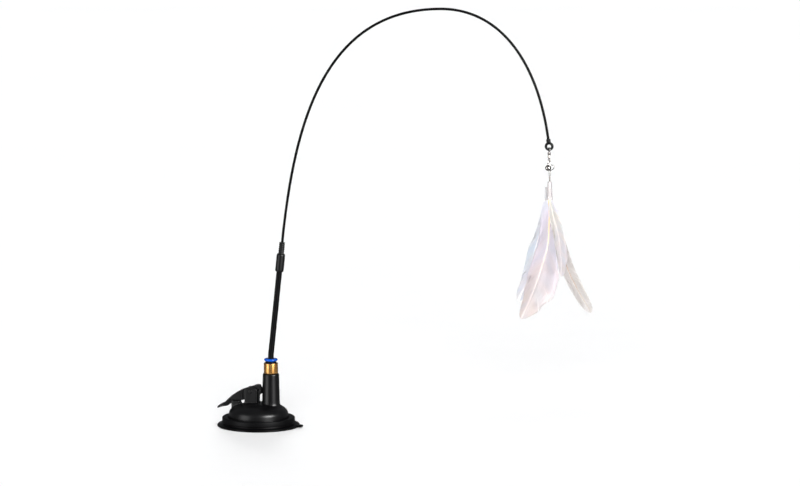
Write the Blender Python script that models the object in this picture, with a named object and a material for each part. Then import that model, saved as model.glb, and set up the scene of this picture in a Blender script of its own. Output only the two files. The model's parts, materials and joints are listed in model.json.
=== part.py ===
"""A cat toy: a suction cup with a locking lever, a wand in a push-in fitting, and a feather lure."""

from math import asin, cos, pi, radians, sin

import bmesh
import bpy
from mathutils import Matrix, Vector
from mathutils.geometry import interpolate_bezier

# Every length is in metres and every angle in degrees.
# The cup stands at the middle of its own frame, with the lever towards -X and the post towards +X.

# Clearances that several pieces share
SEAT_GAP = 0.0003
MERGE_DISTANCE = 0.000001
CUT_OVERRUN = 0.002

# The cup's frame is turned a little under the arch
CUP_TURN = -15.0

# Suction disc, drawn up at its middle because the lever is locked
DISC_RADIUS = 0.0433
DISC_RIM_THICKNESS = 0.0017
DISC_EDGE_CHAMFER = 0.0006
DISC_SHOULDER_RADIUS = 0.0382
DISC_SHOULDER_HEIGHT = 0.0028
DISC_SEAT_RADIUS = 0.0369
DISC_SEAT_HEIGHT = 0.0042
DISC_LAND_WIDTH = 0.0085
DISC_HOLLOW_RADIUS = 0.012
DISC_HOLLOW_DEPTH = 0.0034
DISC_SLOPE_RADIUS = 0.028
DISC_BOSS_RADIUS = 0.0126
DISC_BOSS_FOOT_RADIUS = 0.016
DISC_BOSS_FOOT_HEIGHT = 0.0076
DISC_BOSS_HEIGHT = 0.0105
DISC_NECK_RADIUS = 0.005
TAB_REACH = 0.048
TAB_WIDTH = 0.0084
TAB_THICKNESS = 0.0016
TAB_CORNER = 0.0022
TAB_GRIP_LENGTH = 0.0015
TAB_GRIP_RISE = 0.0006

# Clamp ring round the foot of the dome
RING_RADIUS = 0.0383
RING_TOP = 0.0099
RING_WALL = 0.002
RING_LIP_THICKNESS = 0.0028
RING_CHAMFER = 0.0007

# Dome of the housing
DOME_FLANGE_RADIUS = 0.0355
DOME_FLANGE_THICKNESS = 0.0021
DOME_FOOT_RADIUS = 0.0315
DOME_SPRING_RADIUS = 0.0313
DOME_SPRING_HEIGHT = 0.0126
DOME_TOP = 0.0249
DOME_FULLNESS = 2.25
DOME_WALL = 0.003
DOME_CEILING = 0.019
DOME_SEGMENTS = 36

# Post, whose axis the wand follows
POST_OFFSET = 0.0136
POST_FOOT_RADIUS = 0.0094
POST_TOP_RADIUS = 0.0086
POST_TOP = 0.0566
POST_TOP_CHAMFER = 0.0008
POST_FLARE = 0.0024
POST_FLARE_HEIGHT = 0.004
POST_FLARE_FOOT = 0.0216
POST_SEGMENTS = 24

# Two ears that carry the lever's pin
EAR_LEFT = 0.0138
EAR_RIGHT = 0.0002
EAR_TOP = 0.0412
EAR_THICKNESS = 0.0022
EAR_OUTER_FACE = 0.0063
EAR_CORNER = 0.0038

# Rest on the dome's shoulder that the locked lever lies on
REST_NEAR = 0.0195
REST_FAR = 0.0285
REST_WIDTH = 0.0104
REST_FOOT = 0.012
REST_CORNER = 0.001

# Lever: its outline is measured from the pin
PIN_SETBACK = 0.007
PIN_HEIGHT = 0.037
PIN_RADIUS = 0.0015
PIN_HEAD_RADIUS = 0.0023
PIN_HEAD_THICKNESS = 0.0008
LEVER_REACH = 0.037
LEVER_DROP = 0.0187
LEVER_NOSE_RADIUS = 0.0109
LEVER_NOSE_TOP_ANGLE = 39.0
LEVER_NOSE_FOOT_ANGLE = -16.0
LEVER_ARM_WIDTH = 0.0112
LEVER_LIP_WIDTH = 0.016
LEVER_WALL = 0.0018
# Along the reach and up the drop, from the nose over the top to the tip
LEVER_TOP_SHARES = (
    (0.16, 0.378), (0.097, 0.345), (0.009, 0.278), (-0.09, 0.205), (-0.2, 0.14), (-0.3, 0.055),
    (-0.4, -0.045), (-0.5, -0.18), (-0.6, -0.335), (-0.7, -0.53), (-0.765, -0.67), (-0.82, -0.745),
    (-0.9, -0.785), (-0.965, -0.885), (-1.0, -0.965),
)
# From the tip back along the underside: the lip, a thick knuckle, the seat on the rest, and the heel
LEVER_SEAT_SHARE = -0.524
LEVER_FOOT_SHARES = (
    (-0.985, -1.03), (-0.93, -0.98), (-0.8, -0.89), (-0.71, -0.87), (-0.66, -0.83), (-0.622, -0.7),
    (-0.605, LEVER_SEAT_SHARE), (-0.5, LEVER_SEAT_SHARE), (-0.23, LEVER_SEAT_SHARE), (-0.162, -0.4),
    (0.108, -0.203),
)
# Along the reach, where the arm stops being narrow, is full, starts to flare and is at the lip
LEVER_PLAN_SHARES = (-0.243, -0.286, -0.63, -0.8)
LEVER_HOLLOW_SHARES = (-0.286, -0.57)

# Plunger that the lever lifts, and the disc with it
LINK_RISE = 0.0015
STEM_RADIUS = 0.0016
HEAD_RADIUS = 0.003
HEAD_THICKNESS = 0.0032
LINK_PIN_RADIUS = 0.001
LINK_PIN_LENGTH = 0.0072
LINK_SLOT_LENGTH = 0.0034
LINK_SLOT_ROUND_SHARE = 0.8
PLATE_RADIUS = 0.011
PLATE_THICKNESS = 0.0022
PLATE_HEIGHT = 0.0063

# Spring that pushes the plunger down
SPRING_WIRE = 0.001
SPRING_RADIUS = 0.0068
SPRING_TURNS = 4
SPRING_POINTS_A_TURN = 8
SPRING_SIDES = 6

# Push-in fitting in the post
SPIGOT_RADIUS = 0.0057
SPIGOT_FOOT = 0.046
COLLAR_RADIUS = 0.00745
COLLAR_TOP = 0.0676
COLLAR_CHAMFER = 0.00045
TUBE_STOP = 0.047
SEAL_STEP = 0.0579
GRIP_STEP = 0.0603
LIP_FOOT = 0.0662
CHAMBER_RADIUS = 0.006
SEAL_SECTION = 0.00085
SPACER_THICKNESS = 0.001
GRIP_THICKNESS = 0.0008
GRIP_TEETH = 8
GRIP_SLOT_WIDTH = 0.0012
GRIP_BAND = 0.001
BUTTON_RADIUS = 0.0072
BUTTON_NECK_RADIUS = 0.005
BUTTON_FOOT_THICKNESS = 0.001
BUTTON_UNDERSIDE = 0.0699
BUTTON_TOP = 0.0723
BUTTON_CHAMFER = 0.0007
BUTTON_TRAVEL = 0.0011
TUBE_FIT = 0.0004

# Lower tube of the wand
TUBE_RADIUS = 0.003
TUBE_BORE = 0.002
TUBE_LEAN = 5.75
TUBE_BEND_RADIUS = 0.06
TUBE_BEND_STEPS = 4
TUBE_STRAIGHT = 0.0867
TUBE_SIDES = 12

# Sleeve and ribbed ferrule that join tube and rod
SLEEVE_RADIUS = 0.00445
SLEEVE_LENGTH = 0.0193
SLEEVE_ROUND = 0.0022
SLEEVE_SOCKET = 0.009
FERRULE_SPIGOT_RADIUS = 0.0022
FERRULE_SPIGOT_LENGTH = 0.0088
FERRULE_RADIUS = 0.00305
FERRULE_LENGTH = 0.0116
FERRULE_RIBS = 5
FERRULE_GROOVE = 0.00035
FERRULE_SEGMENTS = 14

# Sprung rod: two Bezier pieces that meet level at the top of the arch, measured from the post's axis
ROD_RADIUS = 0.0014
ROD_BORE = 0.0009
ROD_CORE_RADIUS = 0.0006
ROD_SOCKET = 0.0087
ARCH_SPAN_TO_TOP = 0.1783
ARCH_TOP = 0.4432
ARCH_RISE_HANDLE = 0.1245
ARCH_TOP_HANDLE_IN = 0.123
ARCH_TOP_HANDLE_OUT = 0.0645
ARCH_END_HANDLE = 0.0815
ARCH_SPAN_TO_END = 0.1132
ARCH_END_HEIGHT = 0.3026
ARCH_END_LEAN = 7.2
ARCH_POINTS_IN = 15
ARCH_POINTS_OUT = 13
ROD_SIDES = 8
CORE_SIDES = 6

# Eye at the end of the rod
EYE_RING_RADIUS = 0.00335
EYE_SECTION = 0.00125
EYE_NECK_RADIUS = 0.0023
EYE_NECK_LENGTH = 0.0079
EYE_NECK_ROUND = 0.0004
EYE_SEGMENTS = 18
EYE_SIDES = 8

# Barrel swivel
WIRE_RADIUS = 0.00045
UPPER_RING_RADIUS = 0.00215
LOWER_RING_RADIUS = 0.0019
BARREL_RADIUS = 0.0017
BARREL_LENGTH = 0.0056
BARREL_WALL = 0.00045
BARREL_ROUND = 0.0005
SHANK_HEAD_RADIUS = 0.0008
SHANK_HEAD_LENGTH = 0.0007
SHANK_REACH = 0.0009
RING_SEGMENTS = 14
RING_SIDES = 6

# Snap below the swivel: an eye and an oval loop of one bent wire, held by a folded sleeve
SNAP_SETBACK = 0.00075
SNAP_WIRE_RADIUS = 0.0004
SNAP_EYE_RADIUS = 0.0012
SNAP_LOOP_WIDTH = 0.0079
SNAP_LOOP_LENGTH = 0.0069
SNAP_STRAND_SPACING = 0.0015
SNAP_NECK = 0.0013
SNAP_STEPS = 2
SNAP_SIDES = 6
SNAP_SLEEVE_HEIGHT = 0.001
SNAP_SLEEVE_WALL = 0.00035
# Across the loop's width and down its length, from the right strand round to the left one
SNAP_LOOP_SHARES = (
    (0.27, 0.14), (0.59, 0.26), (0.68, 0.55), (0.44, 0.87), (0.08, 1.0),
    (-0.2, 0.9), (-0.32, 0.58), (-0.22, 0.25),
)

# Bell that leans forwards off the snap
BELL_RADIUS = 0.00315
BELL_WALL = 0.00045
BELL_LEAN = 24.0
BELL_DROP = 0.0066
BELL_SLOT_WIDTH = 0.0009
BELL_SLOT_RISE_SHARE = 0.45
BELL_BALL_RADIUS = 0.0011
BELL_LOOP_RADIUS = 0.0013
BELL_SEGMENTS = 16

# Lure: a wire loop, a cap and four feathers
LOOP_WIRE_RADIUS = 0.00035
LOOP_WIDTH = 0.0032
LOOP_LENGTH = 0.0122
LOOP_TURN = 35.0
LOOP_STEM_LENGTH = 0.004
LOOP_STEM_RADIUS = 0.0009
# Across half the loop's width and down its length, from the stem up to the hook
LOOP_SHARES = ((0.27, 0.93), (0.45, 0.66), (0.85, 0.28), (1.0, 0.1), (0.7, 0.02))
LURE_HOOK_SHARE = 0.08
CAP_LENGTH = 0.019
CAP_TOP_RADIUS = 0.0021
CAP_FOOT_RADIUS = 0.0031
CAP_WALL = 0.0006
CAP_ROUND = 0.0006
CAP_SEGMENTS = 20

# Feathers: a thick quill down the middle of a thin curved vane.
# A way is given across and down as shares of the feather's length, from the foot of the cap.
# The two edges are shares of the width, to the left and to the right of the quill.
QUILL_RING_RADIUS = 0.0009
VANE_THICKNESS = 0.0004
QUILL_TAPER_SHARE = 0.5
QUILL_EDGE_SHARE = 1.15
SPREAD_SHARE = 0.125
FAN_SHARE = 0.25
# Across the quill and out from the vane
QUILL_SECTION_SHARES = ((-0.9, 0.45), (0.0, 1.0), (0.9, 0.45))

MAIN_LENGTH = 0.1265
MAIN_WIDTH = 0.0265
MAIN_DEPTH = 0.0
MAIN_CURVE = 0.0016
MAIN_QUILL_RADIUS = 0.0005
MAIN_WAY_SHARES = (
    (0.0, -0.1), (0.0, 0.02), (-0.005, 0.2125), (-0.017, 0.396), (-0.075, 0.604), (-0.158, 0.8375),
    (-0.235, 1.0),
)
MAIN_LEFT_SHARES = (0.0, 0.32, 0.42, 0.46, 0.5, 0.46, 0.4, 0.27, 0.05)
MAIN_RIGHT_SHARES = (0.0, 0.32, 0.44, 0.5, 0.66, 0.8, 0.8, 0.5, 0.05)

LEFT_LENGTH = 0.1085
LEFT_WIDTH = 0.0185
LEFT_DEPTH = 0.0042
LEFT_CURVE = 0.0014
LEFT_QUILL_RADIUS = 0.00045
LEFT_WAY_SHARES = (
    (0.0, -0.12), (-0.004, 0.02), (-0.05, 0.2), (-0.132, 0.475), (-0.194, 0.75), (-0.26, 0.906),
    (-0.3, 1.0),
)
LEFT_LEFT_SHARES = (0.0, 0.2, 0.28, 0.34, 0.4, 0.42, 0.42, 0.34, 0.06)
LEFT_RIGHT_SHARES = (0.0, 0.2, 0.34, 0.44, 0.5, 0.5, 0.42, 0.3, 0.06)

SHORT_LENGTH = 0.0815
SHORT_WIDTH = 0.0135
SHORT_DEPTH = -0.0036
SHORT_CURVE = 0.0012
SHORT_QUILL_RADIUS = 0.00042
SHORT_WAY_SHARES = (
    (0.0, -0.14), (0.006, 0.02), (0.06, 0.2), (0.15, 0.464), (0.182, 0.75), (0.194, 1.0),
)
SHORT_LEFT_SHARES = (0.0, 0.25, 0.38, 0.4, 0.42, 0.42, 0.38, 0.25, 0.07)
SHORT_RIGHT_SHARES = (0.0, 0.25, 0.42, 0.5, 0.46, 0.5, 0.5, 0.35, 0.07)

RIGHT_LENGTH = 0.1215
RIGHT_WIDTH = 0.0125
RIGHT_DEPTH = 0.0082
RIGHT_CURVE = 0.0012
RIGHT_QUILL_RADIUS = 0.00045
RIGHT_WAY_SHARES = (
    (0.0, -0.09), (0.002, 0.02), (0.04, 0.18), (0.108, 0.4), (0.18, 0.6), (0.268, 0.79), (0.365, 1.0),
)
RIGHT_LEFT_SHARES = (0.0, 0.05, 0.1, 0.3, 0.42, 0.48, 0.5, 0.42, 0.1)
RIGHT_RIGHT_SHARES = (0.0, 0.05, 0.1, 0.4, 0.5, 0.5, 0.5, 0.42, 0.1)


def material(name, colour, roughness, metallic=0.0):
    """A plain finish, made once and shared by the pieces that have it."""
    found = bpy.data.materials.get(name)
    if found:
        return found
    made = bpy.data.materials.new(name)
    made.use_nodes = True
    shader = made.node_tree.nodes["Principled BSDF"]
    shader.inputs["Base Color"].default_value = (*colour, 1.0)
    shader.inputs["Roughness"].default_value = roughness
    shader.inputs["Metallic"].default_value = metallic
    return made


def black_plastic():
    return material("black_plastic", (0.012, 0.012, 0.013), 0.38)


def black_rubber():
    return material("black_rubber", (0.014, 0.014, 0.014), 0.6)


def bright_steel():
    return material("bright_steel", (0.62, 0.62, 0.61), 0.22, 1.0)


def brass():
    return material("brass", (0.72, 0.48, 0.2), 0.3, 1.0)


def blue_plastic():
    return material("blue_plastic", (0.0, 0.16, 0.85), 0.35)


def white_feather():
    return material("white_feather", (0.86, 0.83, 0.84), 0.75)


def frame_at(name, parent, location=(0, 0, 0), rotation=(0, 0, 0)):
    """An empty that pieces are placed in."""
    empty = bpy.data.objects.new(name, None)
    empty.location = location
    empty.rotation_euler = rotation
    empty.parent = parent
    bpy.context.scene.collection.objects.link(empty)
    return empty


def finish_piece(name, bm, surface, parent, location=(0, 0, 0), rotation=(0, 0, 0)):
    """Turns a bmesh into a named object with smooth round faces and sharp corners."""
    mesh = bpy.data.meshes.new(name)
    bm.normal_update()
    bm.to_mesh(mesh)
    bm.free()
    mesh.shade_smooth()
    mesh.set_sharp_from_angle(angle=radians(35))
    mesh.materials.append(surface)
    piece = bpy.data.objects.new(name, mesh)
    piece.location = location
    piece.rotation_euler = rotation
    piece.parent = parent
    bpy.context.scene.collection.objects.link(piece)
    return piece


def combine(piece, tool, operation):
    """Joins a hidden helper to the piece, or cuts it away."""
    modifier = piece.modifiers.new(tool.name, "BOOLEAN")
    modifier.operation = operation
    modifier.object = tool
    tool.hide_render = True
    tool.display_type = "WIRE"


def turned(outline, segments):
    """A closed outline of (radius, height) points, spun round the upright axis."""
    bm = bmesh.new()
    corners = [bm.verts.new((radius, 0, height)) for radius, height in outline]
    sides = []
    for index, corner in enumerate(corners):
        before = corners[index - 1]
        if before.co.x > 0 or corner.co.x > 0:
            sides.append(bm.edges.new((before, corner)))
    bmesh.ops.spin(
        bm, geom=corners + sides, cent=(0, 0, 0), axis=(0, 0, 1), angle=2 * pi,
        steps=segments, use_merge=True,
    )
    bmesh.ops.remove_doubles(bm, verts=bm.verts, dist=MERGE_DISTANCE)
    bmesh.ops.recalc_face_normals(bm, faces=bm.faces)
    return bm


def drum(radius, foot, top, segments):
    """A plain round bar along the upright axis."""
    return turned([(0, foot), (radius, foot), (radius, top), (0, top)], segments)


def ring_outline(radius, section, sides):
    """The round section of a ring, as an outline to be turned."""
    steps = [2 * pi * index / sides for index in range(sides)]
    return [(radius + section * cos(step), section * sin(step)) for step in steps]


def lay_along_y(bm):
    """Turns an upright shape so that its axis lies along Y."""
    bmesh.ops.rotate(bm, verts=bm.verts, cent=(0, 0, 0), matrix=Matrix.Rotation(pi / 2, 3, "X"))


def lay_along_x(bm):
    """Turns an upright shape so that its axis lies along X."""
    bmesh.ops.rotate(bm, verts=bm.verts, cent=(0, 0, 0), matrix=Matrix.Rotation(pi / 2, 3, "Y"))


def slab(outline, half_thickness):
    """An outline of (x, z) points, extruded to both sides along Y."""
    bm = bmesh.new()
    face = bm.faces.new([bm.verts.new((x, -half_thickness, z)) for x, z in outline])
    grown = bmesh.ops.extrude_face_region(bm, geom=[face])
    moved = [item for item in grown["geom"] if isinstance(item, bmesh.types.BMVert)]
    bmesh.ops.translate(bm, verts=moved, vec=(0, 2 * half_thickness, 0))
    bmesh.ops.recalc_face_normals(bm, faces=bm.faces)
    return bm


def floor_slab(outline, foot, top):
    """An outline of (x, y) points, extruded upwards."""
    bm = bmesh.new()
    face = bm.faces.new([bm.verts.new((x, y, foot)) for x, y in outline])
    grown = bmesh.ops.extrude_face_region(bm, geom=[face])
    moved = [item for item in grown["geom"] if isinstance(item, bmesh.types.BMVert)]
    bmesh.ops.translate(bm, verts=moved, vec=(0, 0, top - foot))
    bmesh.ops.recalc_face_normals(bm, faces=bm.faces)
    return bm


def block(low, high):
    """A box between two corners."""
    outline = [(low[0], low[1]), (high[0], low[1]), (high[0], high[1]), (low[0], high[1])]
    return floor_slab(outline, low[2], high[2])


def round_edges(bm, width, segments, direction):
    """Bevels the edges that run along one direction, 0 for X, 1 for Y and 2 for Z."""
    edges = []
    for edge in bm.edges:
        run = edge.verts[0].co - edge.verts[1].co
        if abs(run[direction]) > abs(run[direction - 1]) + abs(run[direction - 2]):
            edges.append(edge)
    bmesh.ops.bevel(bm, geom=edges, offset=width, segments=segments, profile=0.5, affect="EDGES")


def smooth_through(points, steps):
    """A smooth line through the given points, with a few points to each stretch."""
    vectors = [Vector(point) for point in points]
    padded = [2 * vectors[0] - vectors[1], *vectors, 2 * vectors[-1] - vectors[-2]]
    line = []
    for before, start, end, after in zip(padded, padded[1:], padded[2:], padded[3:]):
        for index in range(steps):
            t = index / steps
            line.append(
                0.5 * (2 * start + (end - before) * t
                       + (2 * before - 5 * start + 4 * end - after) * t ** 2
                       + (3 * start - before - 3 * end + after) * t ** 3)
            )
    line.append(vectors[-1])
    return line


def sections_along(path, closed=False):
    """For each point of a path, the two directions across it, carried along without twist."""
    count = len(path)
    tangents = []
    for index in range(count):
        after = path[(index + 1) % count] if closed else path[min(index + 1, count - 1)]
        before = path[index - 1] if closed else path[max(index - 1, 0)]
        tangents.append((after - before).normalized())
    across = tangents[0].orthogonal().normalized()
    frames = []
    for tangent in tangents:
        across = (across - tangent * across.dot(tangent)).normalized()
        frames.append((across, tangent.cross(across)))
    return frames


def ring_round(bm, centre, frame, radius, sides):
    """One ring of points round a point of a path."""
    corners = []
    for index in range(sides):
        turn = 2 * pi * index / sides
        corners.append(bm.verts.new(centre + radius * (cos(turn) * frame[0] + sin(turn) * frame[1])))
    return corners


def skin_between(bm, rings):
    """Side faces between each ring of points and the next."""
    for lower, upper in zip(rings, rings[1:]):
        for index in range(len(lower)):
            bm.faces.new((lower[index - 1], lower[index], upper[index], upper[index - 1]))


def swept(path, radius, sides, bore=0):
    """A round bar along a path, or a tube when it has a bore."""
    bm = bmesh.new()
    frames = sections_along(path)
    outer = [ring_round(bm, point, frame, radius, sides) for point, frame in zip(path, frames)]
    skin_between(bm, outer)
    if bore:
        inner = [ring_round(bm, point, frame, bore, sides) for point, frame in zip(path, frames)]
        skin_between(bm, inner)
        skin_between(bm, [outer[0], inner[0]])
        skin_between(bm, [outer[-1], inner[-1]])
    else:
        bm.faces.new(outer[0])
        bm.faces.new(outer[-1])
    bmesh.ops.recalc_face_normals(bm, faces=bm.faces)
    return bm


def suction_disc(cup):
    """Rubber disc with a flat rim below, a hollow drawn up at its middle and a boss that grips the plate."""
    land_inner = DISC_RADIUS - DISC_LAND_WIDTH
    pocket_radius = PLATE_RADIUS + SEAT_GAP
    pocket_foot = PLATE_HEIGHT - SEAT_GAP
    pocket_top = PLATE_HEIGHT + PLATE_THICKNESS + SEAT_GAP
    bm = turned(
        [
            (0, DISC_HOLLOW_DEPTH),
            (DISC_HOLLOW_RADIUS, DISC_HOLLOW_DEPTH),
            (land_inner, 0),
            (DISC_RADIUS - DISC_EDGE_CHAMFER, 0),
            (DISC_RADIUS, DISC_EDGE_CHAMFER),
            (DISC_RADIUS, DISC_RIM_THICKNESS),
            (DISC_RADIUS - DISC_EDGE_CHAMFER, DISC_RIM_THICKNESS + DISC_EDGE_CHAMFER),
            (DISC_SHOULDER_RADIUS, DISC_SHOULDER_HEIGHT),
            (DISC_SEAT_RADIUS, DISC_SHOULDER_HEIGHT),
            (DISC_SEAT_RADIUS, DISC_SEAT_HEIGHT),
            (DISC_SLOPE_RADIUS, DISC_SEAT_HEIGHT),
            (DISC_BOSS_FOOT_RADIUS, DISC_BOSS_FOOT_HEIGHT),
            (DISC_BOSS_RADIUS, DISC_BOSS_HEIGHT),
            (DISC_NECK_RADIUS, DISC_BOSS_HEIGHT),
            (DISC_NECK_RADIUS, pocket_top),
            (pocket_radius, pocket_top),
            (pocket_radius, pocket_foot),
            (0, pocket_foot),
        ],
        DOME_SEGMENTS,
    )
    disc = finish_piece("suction_disc", bm, black_rubber(), cup)
    combine(disc, pull_tab(cup), "UNION")
    return disc


def pull_tab(cup):
    """Strip on the disc's rim that lets air in, with a raised grip at its end."""
    root = DISC_SHOULDER_RADIUS
    half = TAB_WIDTH / 2
    bm = block((root, -half, SEAT_GAP), (TAB_REACH, half, SEAT_GAP + TAB_THICKNESS))
    round_edges(bm, TAB_CORNER, 3, 2)
    tab = finish_piece("pull_tab_shape", bm, black_rubber(), cup)
    grip_foot = SEAT_GAP + TAB_THICKNESS / 2
    grip_top = SEAT_GAP + TAB_THICKNESS + TAB_GRIP_RISE
    grip_half = half - TAB_CORNER
    bm = block(
        (TAB_REACH - 2 * TAB_GRIP_LENGTH, -grip_half, grip_foot),
        (TAB_REACH - TAB_GRIP_LENGTH, grip_half, grip_top),
    )
    combine(tab, finish_piece("tab_grip_shape", bm, black_rubber(), cup), "UNION")
    return tab


def clamp_ring(cup):
    """Ring that hooks over the dome's flange and closes the housing above the disc."""
    foot = DISC_SEAT_HEIGHT + SEAT_GAP
    lip_inner = DOME_FOOT_RADIUS + SEAT_GAP
    lip_foot = foot + DOME_FLANGE_THICKNESS + SEAT_GAP
    wall_inner = RING_RADIUS - RING_WALL
    bm = turned(
        [
            (wall_inner, foot),
            (RING_RADIUS - RING_CHAMFER / 2, foot),
            (RING_RADIUS, foot + RING_CHAMFER / 2),
            (RING_RADIUS, RING_TOP - RING_CHAMFER),
            (RING_RADIUS - RING_CHAMFER, RING_TOP),
            (lip_inner + RING_CHAMFER, lip_foot + RING_LIP_THICKNESS),
            (lip_inner, lip_foot + RING_LIP_THICKNESS - RING_CHAMFER),
            (lip_inner, lip_foot),
            (wall_inner, lip_foot),
        ],
        DOME_SEGMENTS,
    )
    return finish_piece("clamp_ring", bm, black_plastic(), cup)


def dome_outline():
    """The dome's outside: a flange, a short wall and a full round crown."""
    foot = DISC_SEAT_HEIGHT + SEAT_GAP
    outline = [
        (0, foot),
        (DOME_FLANGE_RADIUS, foot),
        (DOME_FLANGE_RADIUS, foot + DOME_FLANGE_THICKNESS),
        (DOME_FOOT_RADIUS, foot + DOME_FLANGE_THICKNESS),
    ]
    steps = 10
    rise = DOME_TOP - DOME_SPRING_HEIGHT
    power = 2 / DOME_FULLNESS
    for index in range(steps):
        turn = pi / 2 * index / steps
        outline.append(
            (DOME_SPRING_RADIUS * cos(turn) ** power, DOME_SPRING_HEIGHT + rise * sin(turn) ** power)
        )
    return [*outline, (0, DOME_TOP)]


def dome_hollow(cup):
    """The room under the dome for the disc's boss, the spring and the plate."""
    wall = DOME_SPRING_RADIUS - DOME_WALL
    bm = turned(
        [
            (0, 0),
            (wall, 0),
            (wall, DOME_SPRING_HEIGHT),
            (wall - DOME_WALL, DOME_CEILING - DOME_WALL / 2),
            (SPRING_RADIUS + 2 * SPRING_WIRE, DOME_CEILING),
            (0, DOME_CEILING),
        ],
        DOME_SEGMENTS,
    )
    return finish_piece("dome_hollow_shape", bm, black_plastic(), cup)


def post_shape(cup):
    """Tapered round post, flared where it grows out of the dome."""
    flare_top = POST_FLARE_FOOT + POST_FLARE_HEIGHT
    outline = [(0, DOME_CEILING - CUT_OVERRUN)]
    outline.append((POST_FOOT_RADIUS + POST_FLARE, DOME_CEILING - CUT_OVERRUN))
    steps = 4
    for index in range(steps + 1):
        turn = pi / 2 * index / steps
        outline.append(
            (
                POST_FOOT_RADIUS + POST_FLARE * (1 - sin(turn)),
                flare_top - POST_FLARE_HEIGHT * cos(turn),
            )
        )
    outline.append((POST_TOP_RADIUS, POST_TOP - POST_TOP_CHAMFER))
    outline.append((POST_TOP_RADIUS - POST_TOP_CHAMFER, POST_TOP))
    outline.append((0, POST_TOP))
    bm = turned(outline, POST_SEGMENTS)
    return finish_piece("post_shape", bm, black_plastic(), cup, (POST_OFFSET, 0, 0))


def ear_shape(cup, side):
    """One of the two upright ears that the lever's pin goes through."""
    inner = EAR_OUTER_FACE - EAR_THICKNESS
    near, far = sorted((side * inner, side * EAR_OUTER_FACE))
    foot = DOME_CEILING - CUT_OVERRUN
    bm = block((-EAR_LEFT, near, foot), (-EAR_RIGHT, far, EAR_TOP))
    edges = []
    for edge in bm.edges:
        middle = (edge.verts[0].co + edge.verts[1].co) / 2
        run = edge.verts[0].co - edge.verts[1].co
        if abs(run.y) > abs(run.x) + abs(run.z) and middle.z > PIN_HEIGHT:
            edges.append(edge)
    bmesh.ops.bevel(bm, geom=edges, offset=EAR_CORNER, segments=4, profile=0.5, affect="EDGES")
    name = "near_ear_shape" if side < 0 else "far_ear_shape"
    return finish_piece(name, bm, black_plastic(), cup)


def rest_shape(cup):
    """Block on the dome's shoulder that stops the lever when it is locked."""
    top = PIN_HEIGHT + LEVER_DROP * LEVER_SEAT_SHARE - SEAT_GAP
    half = REST_WIDTH / 2
    bm = block((-REST_FAR, -half, REST_FOOT), (-REST_NEAR, half, top))
    round_edges(bm, REST_CORNER, 2, 2)
    return finish_piece("lever_rest_shape", bm, black_plastic(), cup)


def base_housing(cup):
    """Dome, post, ears and lever rest in one moulding, hollow below."""
    housing = finish_piece("base_housing", turned(dome_outline(), DOME_SEGMENTS), black_plastic(), cup)
    for shape in (post_shape(cup), ear_shape(cup, -1), ear_shape(cup, 1), rest_shape(cup)):
        combine(housing, shape, "UNION")
    combine(housing, dome_hollow(cup), "DIFFERENCE")
    bore = drum(STEM_RADIUS + SEAT_GAP, DOME_CEILING - CUT_OVERRUN, DOME_TOP + CUT_OVERRUN, 20)
    combine(housing, finish_piece("stem_bore_shape", bore, black_plastic(), cup), "DIFFERENCE")
    pocket = drum(SPIGOT_RADIUS + SEAT_GAP, SPIGOT_FOOT - SEAT_GAP, POST_TOP + CUT_OVERRUN, 32)
    pocket = finish_piece("fitting_pocket_shape", pocket, black_plastic(), cup, (POST_OFFSET, 0, 0))
    combine(housing, pocket, "DIFFERENCE")
    reach = EAR_OUTER_FACE + CUT_OVERRUN
    hole = drum(PIN_RADIUS + SEAT_GAP, -reach, reach, 20)
    lay_along_y(hole)
    place = (-PIN_SETBACK, 0, PIN_HEIGHT)
    combine(housing, finish_piece("pin_hole_shape", hole, black_plastic(), cup, place), "DIFFERENCE")
    return housing


def lever_pin(cup):
    """Black pin through both ears, with a head on each side."""
    head_foot = EAR_OUTER_FACE + SEAT_GAP
    head_top = head_foot + PIN_HEAD_THICKNESS
    bm = turned(
        [
            (0, -head_top),
            (PIN_HEAD_RADIUS - PIN_HEAD_THICKNESS / 2, -head_top),
            (PIN_HEAD_RADIUS, -head_foot - PIN_HEAD_THICKNESS / 2),
            (PIN_HEAD_RADIUS, -head_foot),
            (PIN_RADIUS, -head_foot),
            (PIN_RADIUS, head_foot),
            (PIN_HEAD_RADIUS, head_foot),
            (PIN_HEAD_RADIUS, head_foot + PIN_HEAD_THICKNESS / 2),
            (PIN_HEAD_RADIUS - PIN_HEAD_THICKNESS / 2, head_top),
            (0, head_top),
        ],
        16,
    )
    lay_along_y(bm)
    return finish_piece("lever_pin", bm, black_plastic(), cup, (-PIN_SETBACK, 0, PIN_HEIGHT))


def lever_line(shares):
    """A smooth line of (x, z) points from shares of the lever's reach and drop, seen from its pin."""
    points = [(LEVER_REACH * along, LEVER_DROP * up, 0) for along, up in shares]
    return [(point.x, point.y) for point in smooth_through(points, 2)]


def lever_outline():
    """The lever's side: over the top to the tip, back underneath, and round the nose."""
    outline = lever_line(LEVER_TOP_SHARES) + lever_line(LEVER_FOOT_SHARES)
    steps = 6
    for index in range(steps + 1):
        turn = radians(
            LEVER_NOSE_FOOT_ANGLE + (LEVER_NOSE_TOP_ANGLE - LEVER_NOSE_FOOT_ANGLE) * index / steps
        )
        outline.append((LEVER_NOSE_RADIUS * cos(turn), LEVER_NOSE_RADIUS * sin(turn)))
    return outline


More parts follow.
